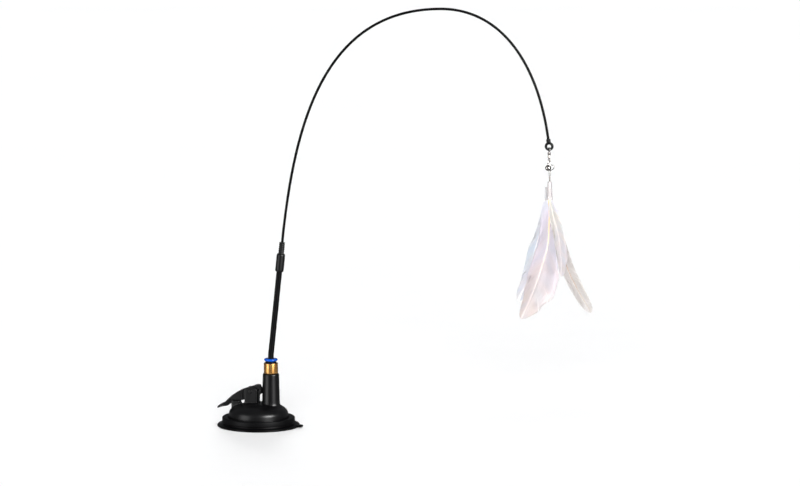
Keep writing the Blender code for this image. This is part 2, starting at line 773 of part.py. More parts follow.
def lever_plan(cup, place):
    """The lever seen from above: narrow between the ears, then the arm, then a wide lip."""
    narrow = EAR_OUTER_FACE - EAR_THICKNESS - SEAT_GAP
    arm = LEVER_ARM_WIDTH / 2
    lip = LEVER_LIP_WIDTH / 2
    neck_end, arm_start, flare_start, flare_end = [LEVER_REACH * share for share in LEVER_PLAN_SHARES]
    tip = -LEVER_REACH - CUT_OVERRUN
    side = [
        (LEVER_NOSE_RADIUS + CUT_OVERRUN, narrow),
        (neck_end, narrow),
        (arm_start, arm),
        (flare_start, arm),
        (flare_end, lip),
    ]
    steps = 6
    for index in range(1, steps):
        turn = pi / 2 * index / steps
        side.append((flare_end + (tip - flare_end) * sin(turn), lip * cos(turn)))
    mirrored = [(x, -y) for x, y in reversed(side)]
    reach = 2 * LEVER_DROP
    bm = floor_slab([*side, (tip, 0), *mirrored], -reach, reach)
    return finish_piece("lever_plan_shape", bm, black_plastic(), cup, place)


def lever_hollow(cup, place):
    """Channel under the arm that leaves a top and two side walls."""
    start, end = [LEVER_REACH * share for share in LEVER_HOLLOW_SHARES]
    top = [(x, z - LEVER_WALL) for x, z in lever_line(LEVER_TOP_SHARES) if end < x < start]
    outline = [*top, (top[-1][0], -LEVER_DROP), (top[0][0], -LEVER_DROP)]
    bm = slab(outline, LEVER_ARM_WIDTH / 2 - LEVER_WALL)
    return finish_piece("lever_hollow_shape", bm, black_plastic(), cup, place)


def lever(cup):
    """Moulded lever: hollow arm, finger lip, and a forked nose that lifts the plunger."""
    place = (-PIN_SETBACK, 0, PIN_HEIGHT)
    piece = finish_piece("lever", slab(lever_outline(), LEVER_LIP_WIDTH), black_plastic(), cup, place)
    combine(piece, lever_plan(cup, place), "INTERSECT")
    combine(piece, lever_hollow(cup, place), "DIFFERENCE")
    half_width = LEVER_LIP_WIDTH
    hole = drum(PIN_RADIUS + SEAT_GAP, -half_width, half_width, 20)
    lay_along_y(hole)
    combine(piece, finish_piece("lever_bore_shape", hole, black_plastic(), cup, place), "DIFFERENCE")
    fork_half = HEAD_THICKNESS / 2 + SEAT_GAP
    fork_root = PIN_SETBACK - HEAD_RADIUS - 2 * SEAT_GAP
    reach = LEVER_NOSE_RADIUS + CUT_OVERRUN
    fork = block((fork_root, -fork_half, -reach), (reach, fork_half, reach))
    combine(piece, finish_piece("fork_shape", fork, black_plastic(), cup, place), "DIFFERENCE")
    slot_height = LINK_PIN_RADIUS + SEAT_GAP
    slot_half = LINK_SLOT_LENGTH / 2
    slot = block(
        (PIN_SETBACK - slot_half, -half_width, LINK_RISE - slot_height),
        (PIN_SETBACK + slot_half, half_width, LINK_RISE + slot_height),
    )
    round_edges(slot, slot_height * LINK_SLOT_ROUND_SHARE, 3, 1)
    combine(piece, finish_piece("link_slot_shape", slot, black_plastic(), cup, place), "DIFFERENCE")
    return piece


def plunger_stem(cup):
    """Black rod with a flat round head for the cross pin, down to the plate."""
    head_height = PIN_HEIGHT + LINK_RISE
    foot = PLATE_HEIGHT + PLATE_THICKNESS + SEAT_GAP
    stem = finish_piece("plunger_stem", drum(STEM_RADIUS, foot, head_height, 20), black_plastic(), cup)
    half = HEAD_THICKNESS / 2
    head = drum(HEAD_RADIUS, -half, half, 24)
    lay_along_y(head)
    place = (0, 0, head_height)
    combine(stem, finish_piece("stem_head_shape", head, black_plastic(), cup, place), "UNION")
    hole = drum(LINK_PIN_RADIUS + SEAT_GAP, -half - CUT_OVERRUN, half + CUT_OVERRUN, 16)
    lay_along_y(hole)
    combine(stem, finish_piece("stem_hole_shape", hole, black_plastic(), cup, place), "DIFFERENCE")
    return stem


def plunger_pin(cup):
    """Cross pin that slides in the slots of the lever's fork."""
    half = LINK_PIN_LENGTH / 2
    bm = drum(LINK_PIN_RADIUS, -half, half, 16)
    lay_along_y(bm)
    return finish_piece("plunger_pin", bm, black_plastic(), cup, (0, 0, PIN_HEIGHT + LINK_RISE))


def plunger_plate(cup):
    """Round plate moulded into the rubber boss, which spreads the pull."""
    edge = PLATE_THICKNESS / 4
    top = PLATE_HEIGHT + PLATE_THICKNESS
    bm = turned(
        [
            (0, PLATE_HEIGHT),
            (PLATE_RADIUS - edge, PLATE_HEIGHT),
            (PLATE_RADIUS, PLATE_HEIGHT + edge),
            (PLATE_RADIUS, top - edge),
            (PLATE_RADIUS - edge, top),
            (0, top),
        ],
        32,
    )
    return finish_piece("plunger_plate", bm, black_plastic(), cup)


def return_spring(cup):
    """Steel coil round the stem, between the dome's ceiling and the rubber boss."""
    foot = DISC_BOSS_HEIGHT + SEAT_GAP + SPRING_WIRE / 2
    top = DOME_CEILING - SEAT_GAP - SPRING_WIRE / 2
    count = round(SPRING_TURNS * SPRING_POINTS_A_TURN)
    path = []
    for index in range(count + 1):
        turn = 2 * pi * SPRING_TURNS * index / count
        height = foot + (top - foot) * index / count
        path.append(Vector((SPRING_RADIUS * cos(turn), SPRING_RADIUS * sin(turn), height)))
    least = min(
        (path[first] - path[second]).length
        for first in range(count + 1)
        for second in range(first + SPRING_POINTS_A_TURN // 2, count + 1)
    )
    print(f"return_spring: least gap between turns {1000 * (least - SPRING_WIRE):.2f} mm")
    bm = swept(path, SPRING_WIRE / 2, SPRING_SIDES)
    return finish_piece("return_spring", bm, bright_steel(), cup)


def brass_collar(post):
    """Body of the push-in fitting: a spigot in the post and a plain band above it."""
    shoulder = POST_TOP + SEAT_GAP
    lip_radius = BUTTON_NECK_RADIUS + SEAT_GAP
    tube_way = TUBE_RADIUS + TUBE_FIT
    bm = turned(
        [
            (0, SPIGOT_FOOT),
            (SPIGOT_RADIUS, SPIGOT_FOOT),
            (SPIGOT_RADIUS, shoulder),
            (COLLAR_RADIUS - COLLAR_CHAMFER, shoulder),
            (COLLAR_RADIUS, shoulder + COLLAR_CHAMFER),
            (COLLAR_RADIUS, COLLAR_TOP - COLLAR_CHAMFER),
            (COLLAR_RADIUS - COLLAR_CHAMFER, COLLAR_TOP),
            (lip_radius, COLLAR_TOP),
            (lip_radius, LIP_FOOT),
            (CHAMBER_RADIUS, LIP_FOOT),
            (CHAMBER_RADIUS, GRIP_STEP),
            (lip_radius, GRIP_STEP),
            (lip_radius, SEAL_STEP),
            (tube_way, SEAL_STEP),
            (tube_way, TUBE_STOP),
            (0, TUBE_STOP),
        ],
        POST_SEGMENTS,
    )
    return finish_piece("brass_collar", bm, brass(), post)


def seal_ring(post):
    """Round rubber seal on the tube, below the spacer."""
    radius = TUBE_RADIUS + SEAT_GAP + SEAL_SECTION
    bm = turned(ring_outline(radius, SEAL_SECTION, RING_SIDES), 18)
    height = SEAL_STEP + SEAT_GAP + SEAL_SECTION
    return finish_piece("seal_ring", bm, black_rubber(), post, (0, 0, height))


def seal_spacer(post):
    """Washer between the seal and the grip ring."""
    outer = CHAMBER_RADIUS - SEAT_GAP
    inner = TUBE_RADIUS + TUBE_FIT
    foot = GRIP_STEP + SEAT_GAP
    top = foot + SPACER_THICKNESS
    bm = turned([(inner, foot), (outer, foot), (outer, top), (inner, top)], 24)
    return finish_piece("seal_spacer", bm, black_plastic(), post)


def grip_ring(post):
    """Steel ring whose teeth hold the tube, and which turns with it."""
    outer = CHAMBER_RADIUS - SEAT_GAP
    inner = TUBE_RADIUS + SEAT_GAP
    foot = GRIP_STEP + 2 * SEAT_GAP + SPACER_THICKNESS
    top = foot + GRIP_THICKNESS
    ring = finish_piece(
        "grip_ring",
        turned([(inner, foot), (outer, foot), (outer, top), (inner, top)], 24),
        bright_steel(),
        post,
    )
    cutters = bmesh.new()
    half = GRIP_SLOT_WIDTH / 2
    for index in range(GRIP_TEETH):
        slot = block(
            (inner - SEAT_GAP, -half, foot - CUT_OVERRUN), (outer - GRIP_BAND, half, top + CUT_OVERRUN)
        )
        turn = Matrix.Rotation(2 * pi * (index + 0.5) / GRIP_TEETH, 3, "Z")
        bmesh.ops.rotate(slot, verts=slot.verts, cent=(0, 0, 0), matrix=turn)
        mesh = bpy.data.meshes.new("grip_slot")
        slot.to_mesh(mesh)
        slot.free()
        cutters.from_mesh(mesh)
        bpy.data.meshes.remove(mesh)
    combine(ring, finish_piece("grip_slots_shape", cutters, bright_steel(), post), "DIFFERENCE")
    return ring


def release_collar(post):
    """Blue collar that is pressed down to free the tube, held in by its foot."""
    inner = TUBE_RADIUS + TUBE_FIT
    foot_radius = CHAMBER_RADIUS - SEAT_GAP
    foot = GRIP_STEP + 3 * SEAT_GAP + SPACER_THICKNESS + GRIP_THICKNESS + BUTTON_TRAVEL
    bm = turned(
        [
            (inner, foot),
            (foot_radius, foot),
            (foot_radius, foot + BUTTON_FOOT_THICKNESS),
            (BUTTON_NECK_RADIUS, foot + BUTTON_FOOT_THICKNESS),
            (BUTTON_NECK_RADIUS, BUTTON_UNDERSIDE),
            (BUTTON_RADIUS - BUTTON_CHAMFER, BUTTON_UNDERSIDE),
            (BUTTON_RADIUS, BUTTON_UNDERSIDE + BUTTON_CHAMFER),
            (BUTTON_RADIUS, BUTTON_TOP - BUTTON_CHAMFER),
            (BUTTON_RADIUS - BUTTON_CHAMFER, BUTTON_TOP),
            (inner + BUTTON_CHAMFER, BUTTON_TOP),
            (inner, BUTTON_TOP - BUTTON_CHAMFER),
        ],
        POST_SEGMENTS,
    )
    return finish_piece("release_collar", bm, blue_plastic(), post)


def tube_path(end):
    """Centre line of the lower tube: upright in the fitting, a short bend, then a straight lean."""
    bend_foot = BUTTON_TOP + SEAT_GAP
    path = [Vector((0, 0, TUBE_STOP + SEAT_GAP)), Vector((0, 0, bend_foot))]
    lean = radians(TUBE_LEAN)
    for index in range(1, TUBE_BEND_STEPS + 1):
        turn = lean * index / TUBE_BEND_STEPS
        path.append(
            Vector((TUBE_BEND_RADIUS * (1 - cos(turn)), 0, bend_foot + TUBE_BEND_RADIUS * sin(turn)))
        )
    path.append(path[-1] + lean_direction() * end)
    return path


def lean_direction():
    return Vector((sin(radians(TUBE_LEAN)), 0, cos(radians(TUBE_LEAN))))


def lower_tube(post):
    """Stiff hollow tube that the fitting grips."""
    path = tube_path(TUBE_STRAIGHT + SLEEVE_SOCKET - SEAT_GAP)
    bm = swept(path, TUBE_RADIUS, TUBE_SIDES, TUBE_BORE)
    return finish_piece("lower_tube", bm, black_plastic(), post)


def joint_sleeve(joint):
    """Round-ended sleeve: a socket for the tube below and a bore for the ferrule above."""
    socket = TUBE_RADIUS + SEAT_GAP
    bore = FERRULE_SPIGOT_RADIUS + SEAT_GAP
    outline = [(socket, 0)]
    steps = 4
    for index in range(steps + 1):
        turn = pi / 2 * index / steps
        edge = SLEEVE_RADIUS - (SLEEVE_RADIUS - socket - SEAT_GAP) * (1 - sin(turn))
        outline.append((edge, SLEEVE_ROUND * (1 - cos(turn))))
    for index in range(steps + 1):
        turn = pi / 2 * index / steps
        edge = SLEEVE_RADIUS - (SLEEVE_RADIUS - FERRULE_RADIUS) * (1 - cos(turn))
        outline.append((edge, SLEEVE_LENGTH - SLEEVE_ROUND * (1 - sin(turn))))
    outline.append((bore, SLEEVE_LENGTH))
    outline.append((bore, SLEEVE_SOCKET))
    outline.append((socket, SLEEVE_SOCKET))
    return finish_piece("joint_sleeve", turned(outline, FERRULE_SEGMENTS), black_plastic(), joint)


def rod_ferrule(joint):
    """Ribbed plug on the rod's foot, with a spigot in the sleeve and a socket for the rod."""
    foot = SLEEVE_LENGTH + SEAT_GAP
    top = foot + FERRULE_LENGTH
    socket = ROD_RADIUS + SEAT_GAP
    edge = FERRULE_GROOVE
    outline = [
        (0, foot - FERRULE_SPIGOT_LENGTH),
        (FERRULE_SPIGOT_RADIUS - edge, foot - FERRULE_SPIGOT_LENGTH),
        (FERRULE_SPIGOT_RADIUS, foot - FERRULE_SPIGOT_LENGTH + edge),
        (FERRULE_SPIGOT_RADIUS, foot),
        (FERRULE_RADIUS, foot),
    ]
    pitch = FERRULE_LENGTH / (2 * FERRULE_RIBS)
    for index in range(FERRULE_RIBS):
        start = foot + 2 * pitch * index
        outline.append((FERRULE_RADIUS, start + pitch - edge / 2))
        outline.append((FERRULE_RADIUS - edge, start + pitch))
        outline.append((FERRULE_RADIUS - edge, start + 2 * pitch - edge))
        if index < FERRULE_RIBS - 1:
            outline.append((FERRULE_RADIUS, start + 2 * pitch - edge / 2))
    outline.append((FERRULE_RADIUS - 2 * edge, top))
    outline.append((socket, top))
    outline.append((socket, top - ROD_SOCKET - SEAT_GAP))
    outline.append((0, top - ROD_SOCKET - SEAT_GAP))
    return finish_piece("rod_ferrule", turned(outline, FERRULE_SEGMENTS), black_plastic(), joint)


def rod_foot():
    """Where the rod leaves the ferrule, seen from the foot of the post's axis."""
    along = TUBE_STRAIGHT + SLEEVE_LENGTH + SEAT_GAP + FERRULE_LENGTH
    return tube_path(along)[-1]


def rod_end():
    """The end of the arch, and the direction in which the rod points there."""
    end = Vector((ARCH_SPAN_TO_TOP + ARCH_SPAN_TO_END, 0, ARCH_END_HEIGHT))
    lean = radians(ARCH_END_LEAN)
    return end, Vector((sin(lean), 0, -cos(lean)))


def rod_path():
    """Centre line of the sprung rod, from its socket over the arch to the eye."""
    foot = rod_foot()
    upward = lean_direction()
    top = Vector((ARCH_SPAN_TO_TOP, 0, ARCH_TOP))
    end, downward = rod_end()
    level = Vector((1, 0, 0))
    rise = interpolate_bezier(
        foot, foot + ARCH_RISE_HANDLE * upward, top - ARCH_TOP_HANDLE_IN * level, top, ARCH_POINTS_IN
    )
    fall = interpolate_bezier(
        top, top + ARCH_TOP_HANDLE_OUT * level, end - ARCH_END_HANDLE * downward, end, ARCH_POINTS_OUT
    )
    return [foot - ROD_SOCKET * upward, *rise, *fall[1:]]


def rod_sheath(post):
    """Black coating of the rod."""
    bm = swept(rod_path(), ROD_RADIUS, ROD_SIDES, ROD_BORE)
    return finish_piece("rod_sheath", bm, black_plastic(), post)


def rod_core(post):
    """Spring steel wire inside the coating."""
    bm = swept(rod_path(), ROD_CORE_RADIUS, CORE_SIDES)
    return finish_piece("rod_core", bm, bright_steel(), post)


def rod_eye(tip):
    """Moulded eye with a neck that takes the rod's end."""
    ring = turned(ring_outline(EYE_RING_RADIUS, EYE_SECTION, EYE_SIDES), EYE_SEGMENTS)
    lay_along_y(ring)
    eye = finish_piece("rod_eye", ring, black_plastic(), tip)
    turn = (0, -radians(ARCH_END_LEAN), 0)
    neck = turned(
        [
            (0, EYE_RING_RADIUS),
            (EYE_NECK_RADIUS - EYE_NECK_ROUND, EYE_RING_RADIUS),
            (EYE_NECK_RADIUS, EYE_RING_RADIUS + EYE_SECTION),
            (EYE_NECK_RADIUS, EYE_NECK_LENGTH - EYE_NECK_ROUND),
            (EYE_NECK_RADIUS - EYE_NECK_ROUND, EYE_NECK_LENGTH),
            (0, EYE_NECK_LENGTH),
        ],
        20,
    )
    combine(eye, finish_piece("eye_neck_shape", neck, black_plastic(), tip, (0, 0, 0), turn), "UNION")
    socket_foot = EYE_RING_RADIUS + EYE_SECTION
    socket = drum(ROD_RADIUS + SEAT_GAP, socket_foot, EYE_NECK_LENGTH + CUT_OVERRUN, 20)
    socket = finish_piece("eye_socket_shape", socket, black_plastic(), tip, (0, 0, 0), turn)
    combine(eye, socket, "DIFFERENCE")
    return eye


def wire_ring(name, parent, radius, location):
    """A ring of swivel wire that stands across X."""
    bm = turned(ring_outline(radius, WIRE_RADIUS, RING_SIDES), RING_SEGMENTS)
    lay_along_x(bm)
    return finish_piece(name, bm, bright_steel(), parent, location)


def shank_shape(name, parent, height, direction):
    """Shank of a swivel ring: out of the ring, through the barrel's end and into its head."""
    wall = BARREL_WALL + 2 * SEAT_GAP
    foot = -WIRE_RADIUS / 2
    neck = SHANK_REACH + wall
    head = neck + SHANK_HEAD_LENGTH
    bm = turned(
        [
            (0, foot),
            (WIRE_RADIUS, foot),
            (WIRE_RADIUS, neck),
            (SHANK_HEAD_RADIUS, neck),
            (SHANK_HEAD_RADIUS, head),
            (0, head),
        ],
        12,
    )
    if direction < 0:
        bmesh.ops.rotate(bm, verts=bm.verts, cent=(0, 0, 0), matrix=Matrix.Rotation(pi, 3, "X"))
    return finish_piece(name, bm, bright_steel(), parent, (0, 0, height))


def swivel_upper_ring(tip):
    """Ring through the rod's eye, with its shank in the barrel."""
    height = upper_ring_height()
    ring = wire_ring("swivel_upper_ring", tip, UPPER_RING_RADIUS, (0, 0, height))
    shank = shank_shape("upper_shank_shape", tip, height - UPPER_RING_RADIUS, -1)
    combine(ring, shank, "UNION")
    return ring


def upper_ring_height():
    """The upper ring hangs on the eye with a small gap, below the eye's middle."""
    return -EYE_RING_RADIUS + EYE_SECTION + SEAT_GAP + WIRE_RADIUS - UPPER_RING_RADIUS


def barrel_top():
    return upper_ring_height() - UPPER_RING_RADIUS - SHANK_REACH + SEAT_GAP / 2


def swivel_barrel(tip):
    """Hollow barrel that holds both shanks by their heads."""
    top = barrel_top()
    foot = top - BARREL_LENGTH
    way = WIRE_RADIUS + SEAT_GAP
    room = BARREL_RADIUS - BARREL_WALL
    bm = turned(
        [
            (way, foot),
            (BARREL_RADIUS - BARREL_ROUND, foot),
            (BARREL_RADIUS, foot + BARREL_ROUND),
            (BARREL_RADIUS, top - BARREL_ROUND),
            (BARREL_RADIUS - BARREL_ROUND, top),
            (way, top),
            (way, top - BARREL_WALL),
            (room, top - BARREL_WALL),
            (room, foot + BARREL_WALL),
            (way, foot + BARREL_WALL),
        ],
        RING_SEGMENTS,
    )
    return finish_piece("swivel_barrel", bm, bright_steel(), tip)


def lower_ring_height():
    return barrel_top() - BARREL_LENGTH + SEAT_GAP / 2 - SHANK_REACH - LOWER_RING_RADIUS


def swivel_lower_ring(tip):
    """Ring below the barrel, which carries the snap and the bell side by side."""
    height = lower_ring_height()
    ring = wire_ring("swivel_lower_ring", tip, LOWER_RING_RADIUS, (0, 0, height))
    shank = shank_shape("lower_shank_shape", tip, height + LOWER_RING_RADIUS, 1)
    combine(ring, shank, "UNION")
    return ring


def hanging_height():
    """Height of the lower ring's wire where the snap and the bell hang on it."""
    return lower_ring_height() - LOWER_RING_RADIUS * cos(asin(SNAP_SETBACK / LOWER_RING_RADIUS))


def snap_path():
    """Centre line of the snap's wire, from inside the sleeve up round the eye and then round the loop."""
    eye_centre = WIRE_RADIUS + SNAP_WIRE_RADIUS + SEAT_GAP - SNAP_EYE_RADIUS
    half = SNAP_STRAND_SPACING / 2
    neck = eye_centre - SNAP_NECK
    loop_top = neck - SNAP_SLEEVE_HEIGHT
    meeting = (neck + loop_top) / 2
    points = [(-half, meeting + SEAT_GAP), (-half, neck)]
    for turn in (205, 180, 135, 90, 45, 0, -25):
        points.append(
            (SNAP_EYE_RADIUS * cos(radians(turn)), eye_centre + SNAP_EYE_RADIUS * sin(radians(turn)))
        )
    points.append((half, neck))
    points.append((half, loop_top))
    for across, down in SNAP_LOOP_SHARES:
        points.append((SNAP_LOOP_WIDTH * across, loop_top - SNAP_LOOP_LENGTH * down))
    points.append((-half, loop_top))
    points.append((-half, meeting - SEAT_GAP))
    return smooth_through([(x, 0, z) for x, z in points], SNAP_STEPS), neck, loop_top


def snap_loop(snap):
    """Bent wire of the snap."""
    path, _, _ = snap_path()
    return finish_piece("snap_loop", swept(path, SNAP_WIRE_RADIUS, SNAP_SIDES), bright_steel(), snap)


def snap_sleeve(snap):
    """Folded sleeve round both strands of the snap."""
    _, neck, loop_top = snap_path()
    inner_x = SNAP_STRAND_SPACING / 2 + SNAP_WIRE_RADIUS + SEAT_GAP
    inner_y = SNAP_WIRE_RADIUS + SEAT_GAP
    outer_x = inner_x + SNAP_SLEEVE_WALL
    outer_y = inner_y + SNAP_SLEEVE_WALL
    bm = block((-outer_x, -outer_y, loop_top), (outer_x, outer_y, neck))
    round_edges(bm, SNAP_SLEEVE_WALL, 2, 2)
    sleeve = finish_piece("snap_sleeve", bm, bright_steel(), snap)
    bm = block((-inner_x, -inner_y, loop_top - CUT_OVERRUN), (inner_x, inner_y, neck + CUT_OVERRUN))
    combine(sleeve, finish_piece("sleeve_way_shape", bm, bright_steel(), snap), "DIFFERENCE")
    return sleeve


def bell_shell(bell):
    """Thin round shell with a slot below and a loop brazed on its crown."""
    steps = 8
    outline = []
    for index in range(steps + 1):
        turn = pi * index / steps - pi / 2
        outline.append((BELL_RADIUS * cos(turn), BELL_RADIUS * sin(turn)))
    outline[0] = (0, -BELL_RADIUS)
    outline[-1] = (0, BELL_RADIUS)
    shell = finish_piece("bell_shell", turned(outline, BELL_SEGMENTS), bright_steel(), bell, bell_place())
    combine(shell, bell_hanger(bell), "UNION")
    room = BELL_RADIUS - BELL_WALL
    outline = [(room * r / BELL_RADIUS, room * z / BELL_RADIUS) for r, z in outline]
    hollow = turned(outline, BELL_SEGMENTS)
    hollow = finish_piece("bell_room_shape", hollow, bright_steel(), bell, bell_place())
    combine(shell, hollow, "DIFFERENCE")
    half = BELL_SLOT_WIDTH / 2
    slot_top = -BELL_RADIUS * (1 - BELL_SLOT_RISE_SHARE)
    slot = block(
        (-BELL_RADIUS - CUT_OVERRUN, -half, -BELL_RADIUS - CUT_OVERRUN),
        (BELL_RADIUS + CUT_OVERRUN, half, slot_top),
    )
    combine(shell, finish_piece("bell_slot_shape", slot, bright_steel(), bell, bell_place()), "DIFFERENCE")
    return shell


def bell_place():
    return (0, 0, -BELL_DROP)


def bell_hanger(bell):
    """Wire staple from the bell's crown over the swivel's lower ring."""
    arc_centre = WIRE_RADIUS + SNAP_WIRE_RADIUS + SEAT_GAP - BELL_LOOP_RADIUS
    foot = -BELL_DROP + BELL_RADIUS - BELL_WALL
    path = [Vector((-BELL_LOOP_RADIUS / 2, 0, foot))]
    steps = 8
    for index in range(steps + 1):
        turn = pi - pi * index / steps
        path.append(Vector((BELL_LOOP_RADIUS * cos(turn), 0, arc_centre + BELL_LOOP_RADIUS * sin(turn))))
    path.append(Vector((BELL_LOOP_RADIUS / 2, 0, foot)))
    bm = swept(path, SNAP_WIRE_RADIUS, SNAP_SIDES)
    return finish_piece("bell_hanger_shape", bm, bright_steel(), bell)


def bell_ball(bell):
    """Loose ball in the bell, lying at its lowest place."""
    bm = bmesh.new()
    bmesh.ops.create_icosphere(bm, subdivisions=2, radius=BELL_BALL_RADIUS)
    drop = BELL_RADIUS - BELL_WALL - BELL_BALL_RADIUS - SEAT_GAP
    lean = radians(BELL_LEAN)
    place = (0, drop * sin(lean), -BELL_DROP - drop * cos(lean))
    return finish_piece("bell_ball", bm, bright_steel(), bell, place)


def lure_loop(lure):
    """Thin wire loop that hangs on the snap, closed into a stem in the cap."""
    half = LOOP_WIDTH / 2
    top = SNAP_WIRE_RADIUS + LOOP_WIRE_RADIUS + SEAT_GAP
    right = [(half * across, top - LOOP_LENGTH * down) for across, down in LOOP_SHARES]
    left = [(-x, z) for x, z in reversed(right)]
    points = [*right, (0, top), *left]
    turn = Matrix.Rotation(pi / 2 - radians(LOOP_TURN), 3, "Z")
    path = smooth_through([turn @ Vector((x, 0, z)) for x, z in points], 2)
    piece = finish_piece("lure_loop", swept(path, LOOP_WIRE_RADIUS, SNAP_SIDES), bright_steel(), lure)
    stem_top = top - LOOP_LENGTH * LOOP_SHARES[0][1]
    stem = drum(LOOP_STEM_RADIUS, stem_top - LOOP_STEM_LENGTH, stem_top + LOOP_WIRE_RADIUS, 12)
    combine(piece, finish_piece("loop_stem_shape", stem, bright_steel(), lure), "UNION")
    return piece


def cap_top():
    """Height of the cap's top below the hook."""
    return SNAP_WIRE_RADIUS - LOOP_LENGTH


def feather_cap(lure):
    """Clear cap, open below, that the quills are glued into."""
    top = cap_top()
    foot = top - CAP_LENGTH
    way = LOOP_STEM_RADIUS + SEAT_GAP
    bm = turned(
        [
            (CAP_FOOT_RADIUS - CAP_WALL, foot),
            (CAP_FOOT_RADIUS, foot),
            (CAP_TOP_RADIUS, top - CAP_ROUND),
            (CAP_TOP_RADIUS - CAP_ROUND, top),
            (way, top),
            (way, top - CAP_WALL),
            (CAP_TOP_RADIUS - CAP_WALL, top - 2 * CAP_WALL),
        ],
        CAP_SEGMENTS,
    )
    clear = material("clear_plastic", (0.86, 0.86, 0.86), 0.25)
    return finish_piece("feather_cap", bm, clear, lure)


def share_at(shares, along):
    """A value read smoothly from a row of shares, for a place along it from 0 to 1."""
    position = along * (len(shares) - 1)
    index = min(int(position), len(shares) - 2)
    rest = position - index
    blend = rest * rest * (3 - 2 * rest)
    return shares[index] + (shares[index + 1] - shares[index]) * blend


def vane_section(centre, across, reach, curve, quill):
    """One section of a feather: a thin curved vane with the quill raised on both faces."""
    points = []
    for side in (1, -1):
        near, far = reach[::side]
        row = [(-near, VANE_THICKNESS / 2), (-(near + quill) / 2, VANE_THICKNESS / 2)]
        row += [(quill * share, quill * rise) for share, rise in QUILL_SECTION_SHARES]
        row += [((far + quill) / 2, VANE_THICKNESS / 2), (far, VANE_THICKNESS / 2)]
        for out, rise in row:
            sag = -curve * (out / max(reach)) ** 2
            points.append(centre + across * out * side + Vector((0, sag + side * rise, 0)))
    return points


def feather(lure, name, seat_turn, size, shares):
    """One feather as a closed skin, from its glued end in the cap down to its tip."""
    length, width, depth, curve, quill_radius = size
    way_shares, left_shares, right_shares = shares
    foot = cap_top() - CAP_LENGTH
    line = smooth_through([(length * across, 0, foot - length * down) for across, down in way_shares], 2)
    seat = Vector((cos(radians(seat_turn)), sin(radians(seat_turn)), 0)) * QUILL_RING_RADIUS
    last = len(line) - 1
    bm = bmesh.new()
    rings = []
    for index, centre in enumerate(line):
        along = max(0.0, (foot - centre.z) / (foot - line[-1].z))
        tangent = line[min(index + 1, last)] - line[max(index - 1, 0)]
        across = Vector((-tangent.z, 0, tangent.x)).normalized()
        centre = centre + seat * max(0.0, 1 - along / SPREAD_SHARE)
        centre.y += depth * min(1.0, along / FAN_SHARE)
        quill = quill_radius * (1 - QUILL_TAPER_SHARE * along)
        left = max(quill * QUILL_EDGE_SHARE, width * share_at(left_shares, along))
        right = max(quill * QUILL_EDGE_SHARE, width * share_at(right_shares, along))
        section = vane_section(centre, across, (left, right), curve * max(left, right) / width, quill)
        rings.append([bm.verts.new(point) for point in section])
    skin_between(bm, rings)
    bm.faces.new(rings[0])
    bm.faces.new(rings[-1])
    bmesh.ops.recalc_face_normals(bm, faces=bm.faces)
    return finish_piece(name, bm, white_feather(), lure)


def feathers(lure):
    """Four feathers of unlike sizes, each with its own seat in the cap."""
    feather(
        lure, "feather_main", 180,
        (MAIN_LENGTH, MAIN_WIDTH, MAIN_DEPTH, MAIN_CURVE, MAIN_QUILL_RADIUS),
        (MAIN_WAY_SHARES, MAIN_LEFT_SHARES, MAIN_RIGHT_SHARES),
    )
    feather(
        lure, "feather_left", 90,
        (LEFT_LENGTH, LEFT_WIDTH, LEFT_DEPTH, LEFT_CURVE, LEFT_QUILL_RADIUS),
        (LEFT_WAY_SHARES, LEFT_LEFT_SHARES, LEFT_RIGHT_SHARES),
    )
    feather(
        lure, "feather_short", 270,
        (SHORT_LENGTH, SHORT_WIDTH, SHORT_DEPTH, SHORT_CURVE, SHORT_QUILL_RADIUS),
        (SHORT_WAY_SHARES, SHORT_LEFT_SHARES, SHORT_RIGHT_SHARES),
    )
    feather(
        lure, "feather_right", 0,
        (RIGHT_LENGTH, RIGHT_WIDTH, RIGHT_DEPTH, RIGHT_CURVE, RIGHT_QUILL_RADIUS),
        (RIGHT_WAY_SHARES, RIGHT_LEFT_SHARES, RIGHT_RIGHT_SHARES),
    )


def build():
    """Makes every piece in its frame."""
    toy = frame_at("toy", None)
    cup = frame_at("cup", toy, (0, 0, 0), (0, 0, radians(CUP_TURN)))
    suction_disc(cup)
    clamp_ring(cup)
    base_housing(cup)
    lever_pin(cup)
    lever(cup)
    plunger_stem(cup)
    plunger_pin(cup)
    plunger_plate(cup)
    return_spring(cup)
    turn = radians(CUP_TURN)
    post = frame_at("post_axis", toy, (POST_OFFSET * cos(turn), POST_OFFSET * sin(turn), 0))
    brass_collar(post)
    seal_ring(post)
    seal_spacer(post)
    grip_ring(post)
    release_collar(post)
    lower_tube(post)
    joint = frame_at("joint_frame", post, tube_path(TUBE_STRAIGHT)[-1], (0, radians(TUBE_LEAN), 0))
    joint_sleeve(joint)
    rod_ferrule(joint)
    rod_sheath(post)
    rod_core(post)
    end, downward = rod_end()
    eye_drop = EYE_RING_RADIUS + EYE_SECTION + SEAT_GAP
    tip = frame_at("tip", post, end + downward * eye_drop)
    rod_eye(tip)
    swivel_upper_ring(tip)
    swivel_barrel(tip)
    swivel_lower_ring(tip)
    snap = frame_at("snap_frame", tip, (0, SNAP_SETBACK, hanging_height()))
    snap_loop(snap)
    snap_sleeve(snap)
    bell = frame_at("bell_frame", tip, (0, -SNAP_SETBACK, hanging_height()), (-radians(BELL_LEAN), 0, 0))
    bell_shell(bell)
    bell_ball(bell)
    _, _, loop_top = snap_path()
    hook = (SNAP_LOOP_WIDTH * LURE_HOOK_SHARE, 0, loop_top - SNAP_LOOP_LENGTH)
    lure = frame_at("lure_frame", snap, hook)
    lure_loop(lure)
    feather_cap(lure)
    feathers(lure)
    return toy


